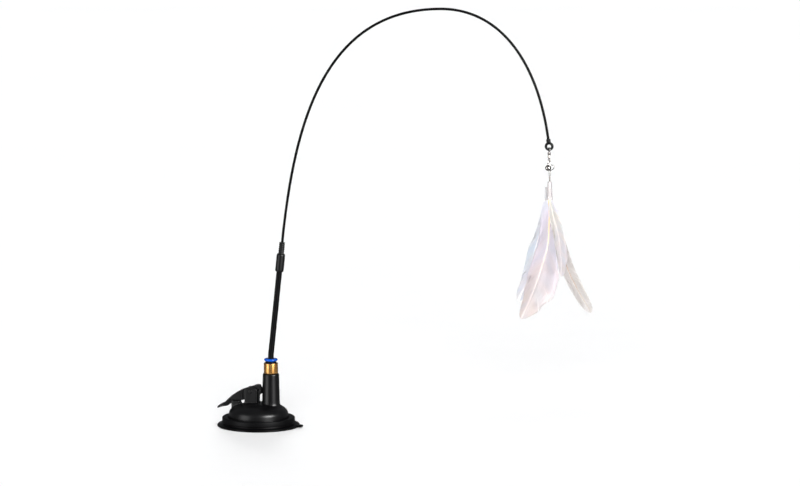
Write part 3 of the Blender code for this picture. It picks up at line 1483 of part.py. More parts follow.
def corners_of_all():
    """The lowest and highest corner of every piece that shows."""
    bpy.context.view_layer.update()
    graph = bpy.context.evaluated_depsgraph_get()
    low = Vector((1, 1, 1)) * 1e9
    high = -low
    for piece in bpy.context.scene.objects:
        if piece.type != "MESH" or piece.hide_render:
            continue
        shown = piece.evaluated_get(graph)
        for corner in shown.data.vertices:
            place = shown.matrix_world @ corner.co
            low = Vector(map(min, low, place))
            high = Vector(map(max, high, place))
    return low, high


def stand_at_origin(toy):
    """Moves the whole toy so that the middle of its foot is the origin."""
    low, high = corners_of_all()
    toy.location = (-(low.x + high.x) / 2, -(low.y + high.y) / 2, -low.z)
    bpy.context.view_layer.update()
    size = 1000 * (high - low)
    print(f"toy: {size.x:.1f} x {size.y:.1f} x {size.z:.1f} mm, moved by {tuple(toy.location)}")


for leftover in list(bpy.data.objects):
    bpy.data.objects.remove(leftover)
stand_at_origin(build())
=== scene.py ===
import json
from math import atan2, cos, pi, radians, sin
from random import Random

import bpy
from mathutils import Matrix, Vector
from mathutils.geometry import interpolate_bezier


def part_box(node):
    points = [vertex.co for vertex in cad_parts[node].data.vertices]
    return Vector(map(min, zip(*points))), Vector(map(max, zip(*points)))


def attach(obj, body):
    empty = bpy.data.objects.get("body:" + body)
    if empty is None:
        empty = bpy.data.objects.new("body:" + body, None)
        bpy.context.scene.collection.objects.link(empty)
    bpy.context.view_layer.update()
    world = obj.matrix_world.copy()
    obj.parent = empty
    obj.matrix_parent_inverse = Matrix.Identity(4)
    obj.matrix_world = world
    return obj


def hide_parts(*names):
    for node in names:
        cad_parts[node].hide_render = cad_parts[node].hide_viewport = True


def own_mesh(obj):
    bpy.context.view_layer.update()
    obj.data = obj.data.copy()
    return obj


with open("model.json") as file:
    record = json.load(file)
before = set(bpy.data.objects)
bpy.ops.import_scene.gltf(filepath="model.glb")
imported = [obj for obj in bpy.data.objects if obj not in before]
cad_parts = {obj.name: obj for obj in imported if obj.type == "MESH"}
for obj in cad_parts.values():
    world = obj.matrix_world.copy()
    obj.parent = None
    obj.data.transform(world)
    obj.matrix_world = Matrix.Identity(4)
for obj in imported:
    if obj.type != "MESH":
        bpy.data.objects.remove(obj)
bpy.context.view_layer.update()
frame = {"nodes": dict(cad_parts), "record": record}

# Every length is in metres and every given angle in degrees, unless a name says otherwise.
# Places come from the frame: its joints and its nodes' boxes. Angles read from it are in radians.
JOINTS = {joint["name"]: joint for joint in frame["record"]["behaviour"]["joints"]}


def joint_place(name):
    """The point of a joint at rest."""
    return Vector(JOINTS[name]["pos_m"])


def middle(node):
    """The middle of a node's box."""
    low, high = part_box(node)
    return (Vector(low) + Vector(high)) / 2


def foot_below(node):
    """The point on the floor plane below a node's middle."""
    place = middle(node)
    return Vector((place.x, place.y, 0))


CUP = foot_below("clamp_ring")
POST = foot_below("brass_collar")
TIP = joint_place("swivel_swing")
SNAP = joint_place("snap_swing")
BELL = joint_place("bell_swing")
HOOK = joint_place("lure_swing")
LEVER_PIN = joint_place("lever_lift")
LEVER_AXIS = Vector(JOINTS["lever_lift"]["axis"])
CUP_TURN = atan2(-LEVER_AXIS.x, LEVER_AXIS.y)
LEAN = Vector(JOINTS["rod_unplug"]["axis"]).normalized()
LEAN_ANGLE = atan2(LEAN.x, LEAN.z)
CUP_FRAME = Matrix.Translation(CUP) @ Matrix.Rotation(CUP_TURN, 4, "Z")
POST_FRAME = Matrix.Translation(POST) @ Matrix.Rotation(CUP_TURN, 4, "Z")

# Clearance between touching pieces
SEAT_GAP = 0.0003

# The photograph's frame, and where the cup's middle stands in it
PIXEL = 0.00105
IMAGE_WIDTH = 800
IMAGE_HEIGHT = 486
CUP_PIXEL = (258.2, 426.1)
CAMERA_RISE = 9.0
CAMERA_DISTANCE = 12.0
CAMERA_NEAR = 0.05
SENSOR_MILLIMETRES = 36.0


def set_camera():
    """A long lens on the level of the photograph, a little above the toy's middle."""
    rise = radians(CAMERA_RISE)
    right = (IMAGE_WIDTH / 2 - CUP_PIXEL[0]) * PIXEL
    up = (CUP_PIXEL[1] - IMAGE_HEIGHT / 2) * PIXEL / cos(rise)
    target = CUP + Vector((right, 0, up))
    away = Vector((0, -cos(rise), sin(rise)))
    bpy.ops.object.camera_add(
        location=target + away * CAMERA_DISTANCE, rotation=(pi / 2 - rise, 0, 0)
    )
    camera = bpy.context.object
    camera.data.sensor_width = SENSOR_MILLIMETRES
    camera.data.lens = SENSOR_MILLIMETRES * CAMERA_DISTANCE / (IMAGE_WIDTH * PIXEL)
    camera.data.clip_start = CAMERA_NEAR
    bpy.context.scene.camera = camera


FLOOR_SIZE = 60.0


def lay_floor():
    """A pale floor that runs out of the view on every side."""
    bpy.ops.mesh.primitive_plane_add(size=FLOOR_SIZE, location=(0, 0, 0))
    floor = bpy.context.object
    floor.name = "studio_floor"
    floor.data.materials.append(studio_paper())
    floor.visible_glossy = False
    floor.visible_shadow = False


SURROUND_COLOUR = "#f4f6fa"
SURROUND_STRENGTH = 0.15
LIGHT_AIM = Vector((0, 0, 0.16))
BOX_DISTANCE = 2.4
# Even lights from far away: strength, spread, rise over the floor and side that it comes from
WIDE_LIGHTS = {
    "overhead_light": (1.62, 60, 82, 0),
    "front_fill": (4.2, 30, 10, 0),
    "back_fill": (3.4, 24, 10, 180),
}
# Soft boxes for the highlights: side, rise, width and height in metres, and power in watts
SOFT_BOXES = {
    "right_box": (38, 0.25, 1.3, 2.3, 16),
    "left_box": (-55, 0.25, 1.5, 2.3, 28),
    "high_right_box": (43, 0.95, 1.3, 1.0, 84),
}


def wide_light(name, strength, spread, rise, side):
    """A light as even as an overcast sky's, which gives no highlight of its own."""
    turn = (pi / 2 - radians(rise), 0, radians(side))
    bpy.ops.object.light_add(type="SUN", location=(0, 0, BOX_DISTANCE), rotation=turn)
    light = bpy.context.object
    light.name = name
    light.data.energy = strength
    light.data.angle = radians(spread)
    light.visible_glossy = False


def soft_box(name, side, rise, width, height, power):
    """A rectangular soft box that faces the toy and only makes highlights."""
    turn = radians(side)
    place = POST + Vector((BOX_DISTANCE * sin(turn), -BOX_DISTANCE * cos(turn), rise))
    bpy.ops.object.light_add(type="AREA", location=place)
    light = bpy.context.object
    light.name = name
    light.rotation_euler = (LIGHT_AIM - place).to_track_quat("-Z", "Y").to_euler()
    light.data.shape = "RECTANGLE"
    light.data.size = width
    light.data.size_y = height
    light.data.energy = power
    light.visible_camera = False
    light.visible_diffuse = False


def set_lights():
    """A wide light overhead, low fills in front and behind, and large soft boxes."""
    world = bpy.data.worlds.new("studio_surround")
    world.use_nodes = True
    surround = world.node_tree.nodes["Background"]
    surround.inputs["Color"].default_value = linear(SURROUND_COLOUR)
    surround.inputs["Strength"].default_value = SURROUND_STRENGTH
    bpy.context.scene.world = world
    for name, design in WIDE_LIGHTS.items():
        wide_light(name, *design)
    for name, design in SOFT_BOXES.items():
        soft_box(name, *design)
    bpy.context.scene.view_settings.view_transform = "Standard"


def linear(hexadecimal):
    """An sRGB hex colour as the linear values that a socket takes."""
    channels = [int(hexadecimal[start:start + 2], 16) / 255 for start in (1, 3, 5)]
    return tuple(
        c / 12.92 if c <= 0.04045 else ((c + 0.055) / 1.055) ** 2.4 for c in channels
    ) + (1.0,)


def feed(material, node, sockets):
    """Gives sockets their values, or links each to the (node, output) that is given for it."""
    for name, value in sockets.items():
        if isinstance(value, tuple) and isinstance(value[0], bpy.types.Node):
            source, output = value
            material.node_tree.links.new(source.outputs[output], node.inputs[name])
        else:
            node.inputs[name].default_value = value


def add_node(material, kind, sockets=None, stops=(), **settings):
    """One node with its settings, its sockets as feed takes them, and a ramp's colour stops."""
    node = material.node_tree.nodes.new("ShaderNode" + kind)
    for name, value in settings.items():
        setattr(node, name, value)
    feed(material, node, sockets or {})
    for index, (place, colour) in enumerate(stops):
        elements = node.color_ramp.elements
        element = elements[index] if index < len(elements) else elements.new(place)
        element.position = place
        element.color = linear(colour)
    return node


def surface(name, colour, roughness, **sockets):
    """A named material with its Principled shader set."""
    made = bpy.data.materials.new(name)
    made.use_nodes = True
    shader = made.node_tree.nodes["Principled BSDF"]
    feed(made, shader, {"Base Color": linear(colour), "Roughness": roughness})
    feed(made, shader, {socket.replace("_", " "): value for socket, value in sockets.items()})
    return made, shader


def per_metre(millimetres):
    """A pattern's scale on Object coordinates from its real repeat in millimetres."""
    return 1000 / millimetres


def studio_paper():
    """Matt white background paper: a faint mottle and no shine."""
    made, shader = surface("studio_paper_white", "#fafafa", 0.95, Specular_IOR_Level=0.1)
    place = add_node(made, "TexCoord")
    mottle = add_node(made, "TexNoise", {"Vector": (place, "Object"), "Scale": per_metre(120)})
    tint = add_node(made, "ValToRGB", {"Fac": (mottle, "Fac")},
                    stops=[(0.3, "#f9f9f9"), (0.7, "#fbfbfb")])
    feed(made, shader, {"Base Color": (tint, "Color")})
    return made


def moulded_plastic(name, dark, light, roughness, grain, gloss):
    """Injection-moulded plastic: an even colour, a fine satin grain and faint rubbed patches."""
    made, shader = surface(name, dark, roughness, Specular_IOR_Level=gloss)
    place = add_node(made, "TexCoord")
    cloud = add_node(made, "TexNoise", {"Vector": (place, "Object"), "Scale": per_metre(18),
                                        "Detail": 4.0})
    tint = add_node(made, "ValToRGB", {"Fac": (cloud, "Fac")}, stops=[(0.35, dark), (0.7, light)])
    rubbed = add_node(made, "MapRange", {"Value": (cloud, "Fac"), "To Min": roughness - 0.06,
                                         "To Max": roughness + 0.07})
    # A real satin grain is about 0.05 mm, too fine to show, so it is drawn as coarse as given here
    texture = add_node(made, "TexNoise", {"Vector": (place, "Object"), "Scale": per_metre(grain),
                                          "Detail": 2.0})
    bump = add_node(made, "Bump", {"Height": (texture, "Fac"), "Strength": 0.1,
                                   "Distance": 0.00003})
    feed(made, shader, {"Base Color": (tint, "Color"), "Roughness": (rubbed, "Result"),
                        "Normal": (bump, "Normal")})
    return made


def extruded_nylon():
    """Extruded black nylon tube: a soft shine with faint draw lines along its length."""
    made, shader = surface("extruded_black_nylon", "#050506", 0.42, Specular_IOR_Level=0.1)
    place = add_node(made, "TexCoord")
    # Draw lines of 0.4 mm are about 20 mm long
    drawn = add_node(made, "Mapping", {"Vector": (place, "Object"), "Scale": (1.0, 1.0, 0.02)})
    lines = add_node(made, "TexNoise", {"Vector": (drawn, "Vector"), "Scale": per_metre(0.4),
                                        "Detail": 2.0})
    bump = add_node(made, "Bump", {"Height": (lines, "Fac"), "Strength": 0.15,
                                   "Distance": 0.00003})
    rubbed = add_node(made, "MapRange", {"Value": (lines, "Fac"), "To Min": 0.34, "To Max": 0.5})
    tint = add_node(made, "ValToRGB", {"Fac": (lines, "Fac")},
                    stops=[(0.3, "#040405"), (0.7, "#09090a")])
    feed(made, shader, {"Base Color": (tint, "Color"), "Roughness": (rubbed, "Result"),
                        "Normal": (bump, "Normal")})
    return made


def plated_steel():
    """Nickel-plated wire and sheet: warm grey metal with fine rubbing that softens its shine."""
    made, shader = surface("nickel_plated_steel", "#c6c1bc", 0.2, Metallic=1.0)
    place = add_node(made, "TexCoord")
    rubs = add_node(made, "TexNoise", {"Vector": (place, "Object"), "Scale": per_metre(1.2),
                                       "Detail": 5.0})
    rough = add_node(made, "MapRange", {"Value": (rubs, "Fac"), "To Min": 0.12, "To Max": 0.28})
    tint = add_node(made, "ValToRGB", {"Fac": (rubs, "Fac")},
                    stops=[(0.3, "#bcb7b2"), (0.7, "#d4d0cc")])
    feed(made, shader, {"Base Color": (tint, "Color"), "Roughness": (rough, "Result")})
    return made


WAVE_RADIANS = 20


def turned_brass():
    """Lathe-turned brass: warm metal with fine rings round its axis and a little tarnish."""
    made, shader = surface("turned_brass", "#d8a263", 0.22, Metallic=0.85, Anisotropic=0.6,
                           Anisotropic_Rotation=0.25)
    place = add_node(made, "TexCoord")
    # The rings scatter light up and down, so a highlight runs the band's full height
    around = add_node(made, "Tangent", direction_type="RADIAL", axis="Z")
    # A wave turns 20 radians in each unit, so its marks are 0.35 mm to a radian and 2.2 mm apart.
    # Real tool marks are too fine to show, so they are drawn that coarse
    marks = add_node(made, "TexWave", {"Vector": (place, "Object"), "Distortion": 0.6,
                                       "Scale": per_metre(0.35) / WAVE_RADIANS, "Detail": 2.0},
                     bands_direction="Z")
    bump = add_node(made, "Bump", {"Height": (marks, "Fac"), "Strength": 0.2, "Distance": 0.00002})
    tarnish = add_node(made, "TexNoise", {"Vector": (place, "Object"), "Scale": per_metre(5),
                                          "Detail": 3.0})
    tint = add_node(made, "ValToRGB", {"Fac": (tarnish, "Fac")},
                    stops=[(0.3, "#ca914d"), (0.7, "#dcab6a")])
    feed(made, shader, {"Base Color": (tint, "Color"), "Normal": (bump, "Normal"),
                        "Tangent": (around, "Tangent")})
    return made


def clear_sleeve():
    """Heat-shrunk clear tube: milky where it is thick, with soft shrink waves."""
    made, shader = surface("clear_shrink_tube", "#dedadb", 0.26, IOR=1.49, Transmission_Weight=0.5)
    place = add_node(made, "TexCoord")
    waves = add_node(made, "TexNoise", {"Vector": (place, "Object"), "Scale": per_metre(2.5),
                                        "Detail": 2.0})
    bump = add_node(made, "Bump", {"Height": (waves, "Fac"), "Strength": 0.3, "Distance": 0.0001})
    haze = add_node(made, "MapRange", {"Value": (waves, "Fac"), "To Min": 0.16, "To Max": 0.34})
    feed(made, shader, {"Roughness": (haze, "Result"), "Normal": (bump, "Normal")})
    return made


def feather_barbs(name, lengthwise, patches, streak):
    """Barbs of a feather: near-white keratin, tinted down its length and in long soft patches."""
    made, shader = surface(name, lengthwise[0][1], 0.6, Subsurface_Weight=0.3, Sheen_Weight=0.3,
                           Sheen_Roughness=0.4, Subsurface_Radius=(0.002, 0.002, 0.002),
                           Subsurface_Scale=1.0)
    place = add_node(made, "TexCoord")
    split = add_node(made, "SeparateXYZ", {"Vector": (place, "UV")})
    down = add_node(made, "ValToRGB", {"Fac": (split, "Y")}, stops=lengthwise)
    # Patches are about 25 mm long down the feather
    broad = add_node(made, "Mapping", {"Vector": (place, "UV"), "Scale": (1.0, 5.0, 1.0)})
    cloud = add_node(made, "TexNoise", {"Vector": (broad, "Vector"), "Scale": 1.0, "Detail": 1.0})
    patch = add_node(made, "ValToRGB", {"Fac": (cloud, "Fac")}, stops=patches)
    tinted = add_node(made, "MixRGB", {"Fac": 0.5, "Color1": (down, "Color"),
                                       "Color2": (patch, "Color")}, blend_type="MULTIPLY")
    # Streaks are 0.4 mm wide, as coarse as the drawn barbs
    fine = add_node(made, "Mapping", {"Vector": (place, "UV"), "Scale": (1.5, 320.0, 1.0)})
    lines = add_node(made, "TexNoise", {"Vector": (fine, "Vector"), "Scale": 1.0, "Detail": 1.0})
    shade = add_node(made, "ValToRGB", {"Fac": (lines, "Fac")},
                     stops=[(0.3, streak), (0.65, "#ffffff")])
    streaked = add_node(made, "MixRGB", {"Fac": 0.4, "Color1": (tinted, "Color"),
                                         "Color2": (shade, "Color")}, blend_type="MULTIPLY")
    feed(made, shader, {"Base Color": (streaked, "Color")})
    return made


def quill_keratin(name, rows):
    """A feather's quill: horn that goes from its root's tint to a paler one at its tip."""
    made, shader = surface(name, rows[0][1], 0.35, Subsurface_Weight=0.2, Subsurface_Scale=1.0,
                           Subsurface_Radius=(0.002, 0.0015, 0.001))
    place = add_node(made, "TexCoord")
    split = add_node(made, "SeparateXYZ", {"Vector": (place, "UV")})
    tint = add_node(made, "ValToRGB", {"Fac": (split, "Y")}, stops=rows)
    # Growth rings a few millimetres apart show as faint lighter bands
    bands = add_node(made, "TexNoise", {"Vector": (place, "Object"), "Scale": per_metre(3),
                                        "Detail": 2.0})
    light = add_node(made, "ValToRGB", {"Fac": (bands, "Fac")},
                     stops=[(0.35, "#f4efe9"), (0.7, "#ffffff")])
    banded = add_node(made, "MixRGB", {"Fac": 0.6, "Color1": (tint, "Color"),
                                       "Color2": (light, "Color")}, blend_type="MULTIPLY")
    feed(made, shader, {"Base Color": (banded, "Color")})
    return made


# Sides of a turned piece, from the suction disc down to the swivel's shanks
DISC_SIDES = 128
POST_SIDES = 96
SLEEVE_SIDES = 64
BARREL_SIDES = 48
SHANK_SIDES = 32
RING_SECTION_SIDES = 16
# Steps of a rounded corner, of a short arc and of a wire between two of its points
CORNER_STEPS = 8
ARC_STEPS = 6
WIRE_STEPS = 6
SHARP_ANGLE = 30
SMOOTH_ANGLE = 35
MERGE_DISTANCE = 0.000001


def start_clean():
    """Deselects everything, because an operator acts on all that is selected."""
    bpy.ops.object.select_all(action="DESELECT")


def choose(piece):
    """Makes a piece the only one that an operator acts on."""
    start_clean()
    piece.select_set(True)
    bpy.context.view_layer.objects.active = piece


def keep_place():
    """Puts the chosen piece's place, turn and scale into its mesh."""
    bpy.ops.object.transform_apply(location=True, rotation=True, scale=True)


def put_in_scene(name, data):
    """A new object for a mesh or a curve, as the chosen piece."""
    piece = bpy.data.objects.new(name, data)
    bpy.context.scene.collection.objects.link(piece)
    choose(piece)
    return piece


def settle(piece, name, body, finish, nodes=(), place=Matrix.Identity(4)):
    """Stands a piece in its place, in its mesh too, and gives it name, finish and body."""
    piece.matrix_world = place @ piece.matrix_world
    choose(piece)
    keep_place()
    piece.name = name
    piece.data.name = name
    piece.data.materials.clear()
    piece.data.materials.append(finish)
    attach(piece, body)
    if nodes:
        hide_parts(*nodes)
    return piece


def turned_piece(rings, sides, hollow=False):
    """A circle extruded and scaled from ring to ring, as on a lathe, each ring (radius, height)."""
    start_clean()
    radius, height = rings[0]
    bpy.ops.mesh.primitive_circle_add(vertices=sides, radius=radius, location=(0, 0, height))
    piece = bpy.context.object
    keep_place()
    bpy.ops.object.mode_set(mode="EDIT")
    bpy.ops.mesh.select_mode(type="VERT")
    bpy.ops.mesh.select_all(action="SELECT")
    for (before, foot), (after, top) in zip(rings, rings[1:]):
        bpy.ops.mesh.extrude_region_move(TRANSFORM_OT_translate={"value": (0, 0, top - foot)})
        ratio = after / before
        bpy.ops.transform.resize(value=(ratio, ratio, 1), center_override=(0, 0, top))
    bpy.ops.mesh.select_all(action="DESELECT")
    bpy.ops.mesh.select_non_manifold()
    if hollow:
        bpy.ops.mesh.bridge_edge_loops()
    else:
        bpy.ops.mesh.fill_holes(sides=0)
    bpy.ops.mesh.select_all(action="SELECT")
    bpy.ops.mesh.normals_make_consistent(inside=False)
    bpy.ops.object.mode_set(mode="OBJECT")
    return piece


def block_piece(low, high):
    """A cube primitive at its size and place, as a start for a moulded block."""
    start_clean()
    centre = [(a + b) / 2 for a, b in zip(low, high)]
    bpy.ops.mesh.primitive_cube_add(size=1, location=centre)
    piece = bpy.context.object
    piece.scale = [b - a for a, b in zip(low, high)]
    keep_place()
    return piece


def round_some(piece, width, chosen, segments=CORNER_STEPS):
    """Rounds the edges that a test chooses by their two ends."""
    choose(piece)
    bpy.ops.object.mode_set(mode="EDIT")
    bpy.ops.mesh.select_mode(type="EDGE")
    bpy.ops.mesh.select_all(action="DESELECT")
    bpy.ops.object.mode_set(mode="OBJECT")
    corners = piece.data.vertices
    for edge in piece.data.edges:
        edge.select = chosen(*[corners[index].co for index in edge.vertices])
    bpy.ops.object.mode_set(mode="EDIT")
    bpy.ops.mesh.bevel(offset=width, segments=segments, profile=0.5)
    bpy.ops.object.mode_set(mode="OBJECT")
    return piece


def apply_modifier(piece, name, kind, **settings):
    """Adds one modifier, sets it and applies it."""
    choose(piece)
    modifier = piece.modifiers.new(name, kind)
    for setting, value in settings.items():
        setattr(modifier, setting, value)
    bpy.ops.object.modifier_apply(modifier=modifier.name)
    return piece


def ease_edges(piece, width):
    """Rounds every sharp edge of a turned or cut piece."""
    return apply_modifier(piece, "eased_edges", "BEVEL", width=width, segments=3,
                          limit_method="ANGLE", angle_limit=radians(SHARP_ANGLE))


def melt_joins(piece, grain, passes):
    """Closes a piece in one even skin and softens it, as a moulding's fillets do."""
    apply_modifier(piece, "one_skin", "REMESH", mode="VOXEL", voxel_size=grain,
                   use_smooth_shade=True)
    return apply_modifier(piece, "soft_fillets", "SMOOTH", factor=0.5, iterations=passes)


def combine(piece, tool, operation):
    """Adds or cuts one shape and removes it afterwards."""
    apply_modifier(piece, "shaping", "BOOLEAN", object=tool, operation=operation, solver="EXACT")
    bpy.data.objects.remove(tool)
    return piece


def join(*pieces):
    """Makes several shapes one object without changing them."""
    choose(pieces[0])
    for piece in pieces[1:]:
        piece.select_set(True)
    bpy.ops.object.join()
    return bpy.context.object


def smooth_corners(piece, angle=SMOOTH_ANGLE):
    """Shades a piece smooth across its blunt corners and leaves its sharp ones crisp."""
    choose(piece)
    bpy.ops.object.shade_smooth_by_angle(angle=radians(angle))
    return piece


def wire_piece(points, radius, fineness=4):
    """A round wire through points, as a curve with a bevel that is made a mesh."""
    data = bpy.data.curves.new("wire", "CURVE")
    data.dimensions = "3D"
    data.bevel_depth = radius
    data.bevel_resolution = fineness
    data.use_fill_caps = True
    line = data.splines.new("POLY")
    line.points.add(len(points) - 1)
    for point, place in zip(line.points, points):
        point.co = (*place, 1)
    put_in_scene("wire", data)
    bpy.ops.object.convert(target="MESH")
    bpy.ops.object.mode_set(mode="EDIT")
    bpy.ops.mesh.select_all(action="SELECT")
    bpy.ops.mesh.remove_doubles(threshold=MERGE_DISTANCE)
    bpy.ops.mesh.normals_make_consistent(inside=False)
    bpy.ops.object.mode_set(mode="OBJECT")
    bpy.ops.object.shade_smooth()
    return bpy.context.object


def ring_piece(radius, section, turn=(0, 0, 0), place=(0, 0, 0)):
    """A round ring of round section."""
    start_clean()
    bpy.ops.mesh.primitive_torus_add(
        major_radius=radius, minor_radius=section, major_segments=BARREL_SIDES,
        minor_segments=RING_SECTION_SIDES, location=place, rotation=turn,
    )
    keep_place()
    bpy.ops.object.shade_smooth()
    return bpy.context.object


def smooth_through(points, steps=WIRE_STEPS):
    """A smooth line through the given points, with a few points to each stretch."""
    vectors = [Vector(point) for point in points]
    padded = [2 * vectors[0] - vectors[1], *vectors, 2 * vectors[-1] - vectors[-2]]
    line = []
    for before, start, end, after in zip(padded, padded[1:], padded[2:], padded[3:]):
        for index in range(steps):
            t = index / steps
            line.append(
                0.5 * (2 * start + (end - before) * t
                       + (2 * before - 5 * start + 4 * end - after) * t ** 2
                       + (3 * start - before - 3 * end + after) * t ** 3)
            )
    line.append(vectors[-1])
    return line


def arc_rings(centre, radius, start, end, steps=ARC_STEPS):
    """Points of an arc between two angles, as (radius, height) rings."""
    turns = [radians(start + (end - start) * index / steps) for index in range(steps + 1)]
    return [(centre[0] + radius * cos(turn), centre[1] + radius * sin(turn)) for turn in turns]


def quarter_turns():
    """Angles from nothing to a quarter turn."""
    return [pi / 2 * index / CORNER_STEPS for index in range(CORNER_STEPS + 1)]


def is_upright(a, b):
    """Whether an edge runs up rather than across."""
    return abs(a.z - b.z) > abs(a.x - b.x) + abs(a.y - b.y)


# Suction disc and its pull tab
DISC_RADIUS = 0.0433
DISC_RIM = 0.0017
DISC_EDGE = 0.0006
DISC_EASE = 0.0002
DISC_SHOULDER = (0.0382, 0.0028)
DISC_SEAT = (0.0369, 0.0042)
DISC_LAND = 0.0085
DISC_HOLLOW = (0.012, 0.0034)
DISC_SLOPE = 0.028
BOSS_FOOT = (0.016, 0.0076)
BOSS_TOP = (0.0126, 0.0105)
BOSS_NECK = 0.005
PLATE_RADIUS = 0.011
PLATE_ROOM_FOOT = 0.0042
PLATE_TOP = 0.0085
TAB_REACH = 0.048
TAB_HALF = 0.0042
TAB_THICKNESS = 0.0016
TAB_FOOT = 0.001
TAB_CORNER = 0.0022
TAB_GRIP = 0.0015
TAB_GRIP_RISE = 0.0006


def suction_disc(finish):
    """Rubber disc: flat land below, drawn-up middle, thin rim with a bead, boss and pull tab.

    The plate's room is deep enough below for the plate to stay clear when the rubber is pressed.
    """
    rings = [
        (SEAT_GAP, DISC_HOLLOW[1]), DISC_HOLLOW, (DISC_RADIUS - DISC_LAND, 0),
        (DISC_RADIUS - DISC_EDGE, 0), (DISC_RADIUS, DISC_EDGE), (DISC_RADIUS, DISC_RIM),
        (DISC_RADIUS - DISC_EDGE, DISC_RIM + DISC_EDGE), DISC_SHOULDER,
        (DISC_SEAT[0], DISC_SHOULDER[1]), DISC_SEAT, (DISC_SLOPE, DISC_SEAT[1]),
        BOSS_FOOT, BOSS_TOP, (BOSS_NECK, BOSS_TOP[1]), (BOSS_NECK, PLATE_TOP + SEAT_GAP),
        (PLATE_RADIUS + SEAT_GAP, PLATE_TOP + SEAT_GAP),
        (PLATE_RADIUS + SEAT_GAP, PLATE_ROOM_FOOT), (SEAT_GAP, PLATE_ROOM_FOOT),
    ]
    disc = ease_edges(turned_piece(rings, DISC_SIDES), DISC_EASE)
    disc = combine(disc, pull_tab(), "UNION")
    smooth_corners(disc)
    settle(disc, "disc_rubber", "base", finish, ["suction_disc"], CUP_FRAME)
    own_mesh(disc)


def pull_tab():
    """Strip on the rim with rounded corners and a raised grip near its end."""
    tab = block_piece(
        (DISC_SHOULDER[0], -TAB_HALF, TAB_FOOT), (TAB_REACH, TAB_HALF, TAB_FOOT + TAB_THICKNESS)
    )
    round_some(tab, TAB_CORNER, is_upright)
    ease_edges(tab, DISC_EASE)
    grip = block_piece(
        (TAB_REACH - 2 * TAB_GRIP, TAB_CORNER - TAB_HALF, TAB_FOOT + TAB_THICKNESS / 2),
        (TAB_REACH - TAB_GRIP, TAB_HALF - TAB_CORNER, TAB_FOOT + TAB_THICKNESS + TAB_GRIP_RISE),
    )
    ease_edges(grip, TAB_GRIP_RISE / 2)
    return combine(tab, grip, "UNION")


# Clamp ring
RING_RADIUS = 0.0383
RING_TOP = 0.0099
RING_WALL = 0.002
RING_LIP = 0.0028
RING_CHAMFER = 0.0007
RING_EASE = 0.00035
FLANGE_THICKNESS = 0.0021
CUP_FOOT = DISC_SEAT[1] + SEAT_GAP
DOME_FOOT_RADIUS = 0.0315


def clamp_ring(finish):
    """Ring with a sloping top that hooks over the dome's flange."""
    lip = DOME_FOOT_RADIUS + SEAT_GAP
    lip_foot = CUP_FOOT + FLANGE_THICKNESS + SEAT_GAP
    wall = RING_RADIUS - RING_WALL
    rings = [
        (wall, CUP_FOOT), (RING_RADIUS - RING_CHAMFER / 2, CUP_FOOT),
        (RING_RADIUS, CUP_FOOT + RING_CHAMFER / 2), (RING_RADIUS, RING_TOP - RING_CHAMFER),
        (RING_RADIUS - RING_CHAMFER, RING_TOP), (lip + RING_CHAMFER, lip_foot + RING_LIP),
        (lip, lip_foot + RING_LIP - RING_CHAMFER), (lip, lip_foot), (wall, lip_foot),
    ]
    ring = ease_edges(turned_piece(rings, DISC_SIDES, hollow=True), RING_EASE)
    smooth_corners(ring)
    settle(ring, "ring_moulding", "base", finish, ["clamp_ring"], CUP_FRAME)


# Housing: dome, post, ears and lever rest
FLANGE_RADIUS = 0.0355
DOME_SPRING = (0.0313, 0.0126)
DOME_TOP = 0.0249
DOME_FULLNESS = 2.25
DOME_STEPS = 30
DOME_WALL = 0.003
DOME_CEILING = 0.019
SPRING_ROOM = 0.0088
POST_OFFSET = 0.0136
POST_FOOT_RADIUS = 0.0094
POST_TOP_RADIUS = 0.0086
POST_TOP = 0.0566
POST_CHAMFER = 0.0008
POST_FLARE = 0.0024
POST_FLARE_HEIGHT = 0.004
POST_FLARE_FOOT = 0.0216
EAR_LEFT = 0.0138
EAR_RIGHT = 0.0002
EAR_TOP = 0.0412
EAR_THICKNESS = 0.0022
EAR_FACE = 0.0063
EAR_CORNER = 0.0038
REST_NEAR = 0.0195
REST_FAR = 0.0285
REST_HALF = 0.0052
REST_FOOT = 0.012
REST_TOP = 0.0269
REST_CORNER = 0.001
PIN_SETBACK = 0.007
PIN_RADIUS = 0.0015
PIN_HEAD_RADIUS = 0.0023
PIN_HEAD_THICKNESS = 0.0008
PIN_HEAD_ARC = 84
STEM_WAY = 0.0019
POCKET_RADIUS = 0.006
POCKET_FOOT = 0.0457
OVERRUN = 0.002
HOUSING_GRAIN = 0.0005
HOUSING_PASSES = 5


def crown():
    """The dome's full round outside, from its short wall to its top."""
    rise = DOME_TOP - DOME_SPRING[1]
    power = 2 / DOME_FULLNESS
    turns = [pi / 2 * index / DOME_STEPS for index in range(DOME_STEPS)]
    return [
        (DOME_SPRING[0] * cos(turn) ** power, DOME_SPRING[1] + rise * sin(turn) ** power)
        for turn in turns
    ]


def post_piece():
    """Tapered post with a flared foot."""
    foot = DOME_CEILING - OVERRUN
    rings = [(POST_FOOT_RADIUS + POST_FLARE, foot)]
    rings += [(POST_FOOT_RADIUS + POST_FLARE * (1 - sin(turn)),
               POST_FLARE_FOOT + POST_FLARE_HEIGHT * (1 - cos(turn))) for turn in quarter_turns()]
    rings += [(POST_TOP_RADIUS, POST_TOP - POST_CHAMFER),
              (POST_TOP_RADIUS - POST_CHAMFER, POST_TOP)]
    post = turned_piece(rings, POST_SIDES)
    post.location.x = POST_OFFSET
    return post


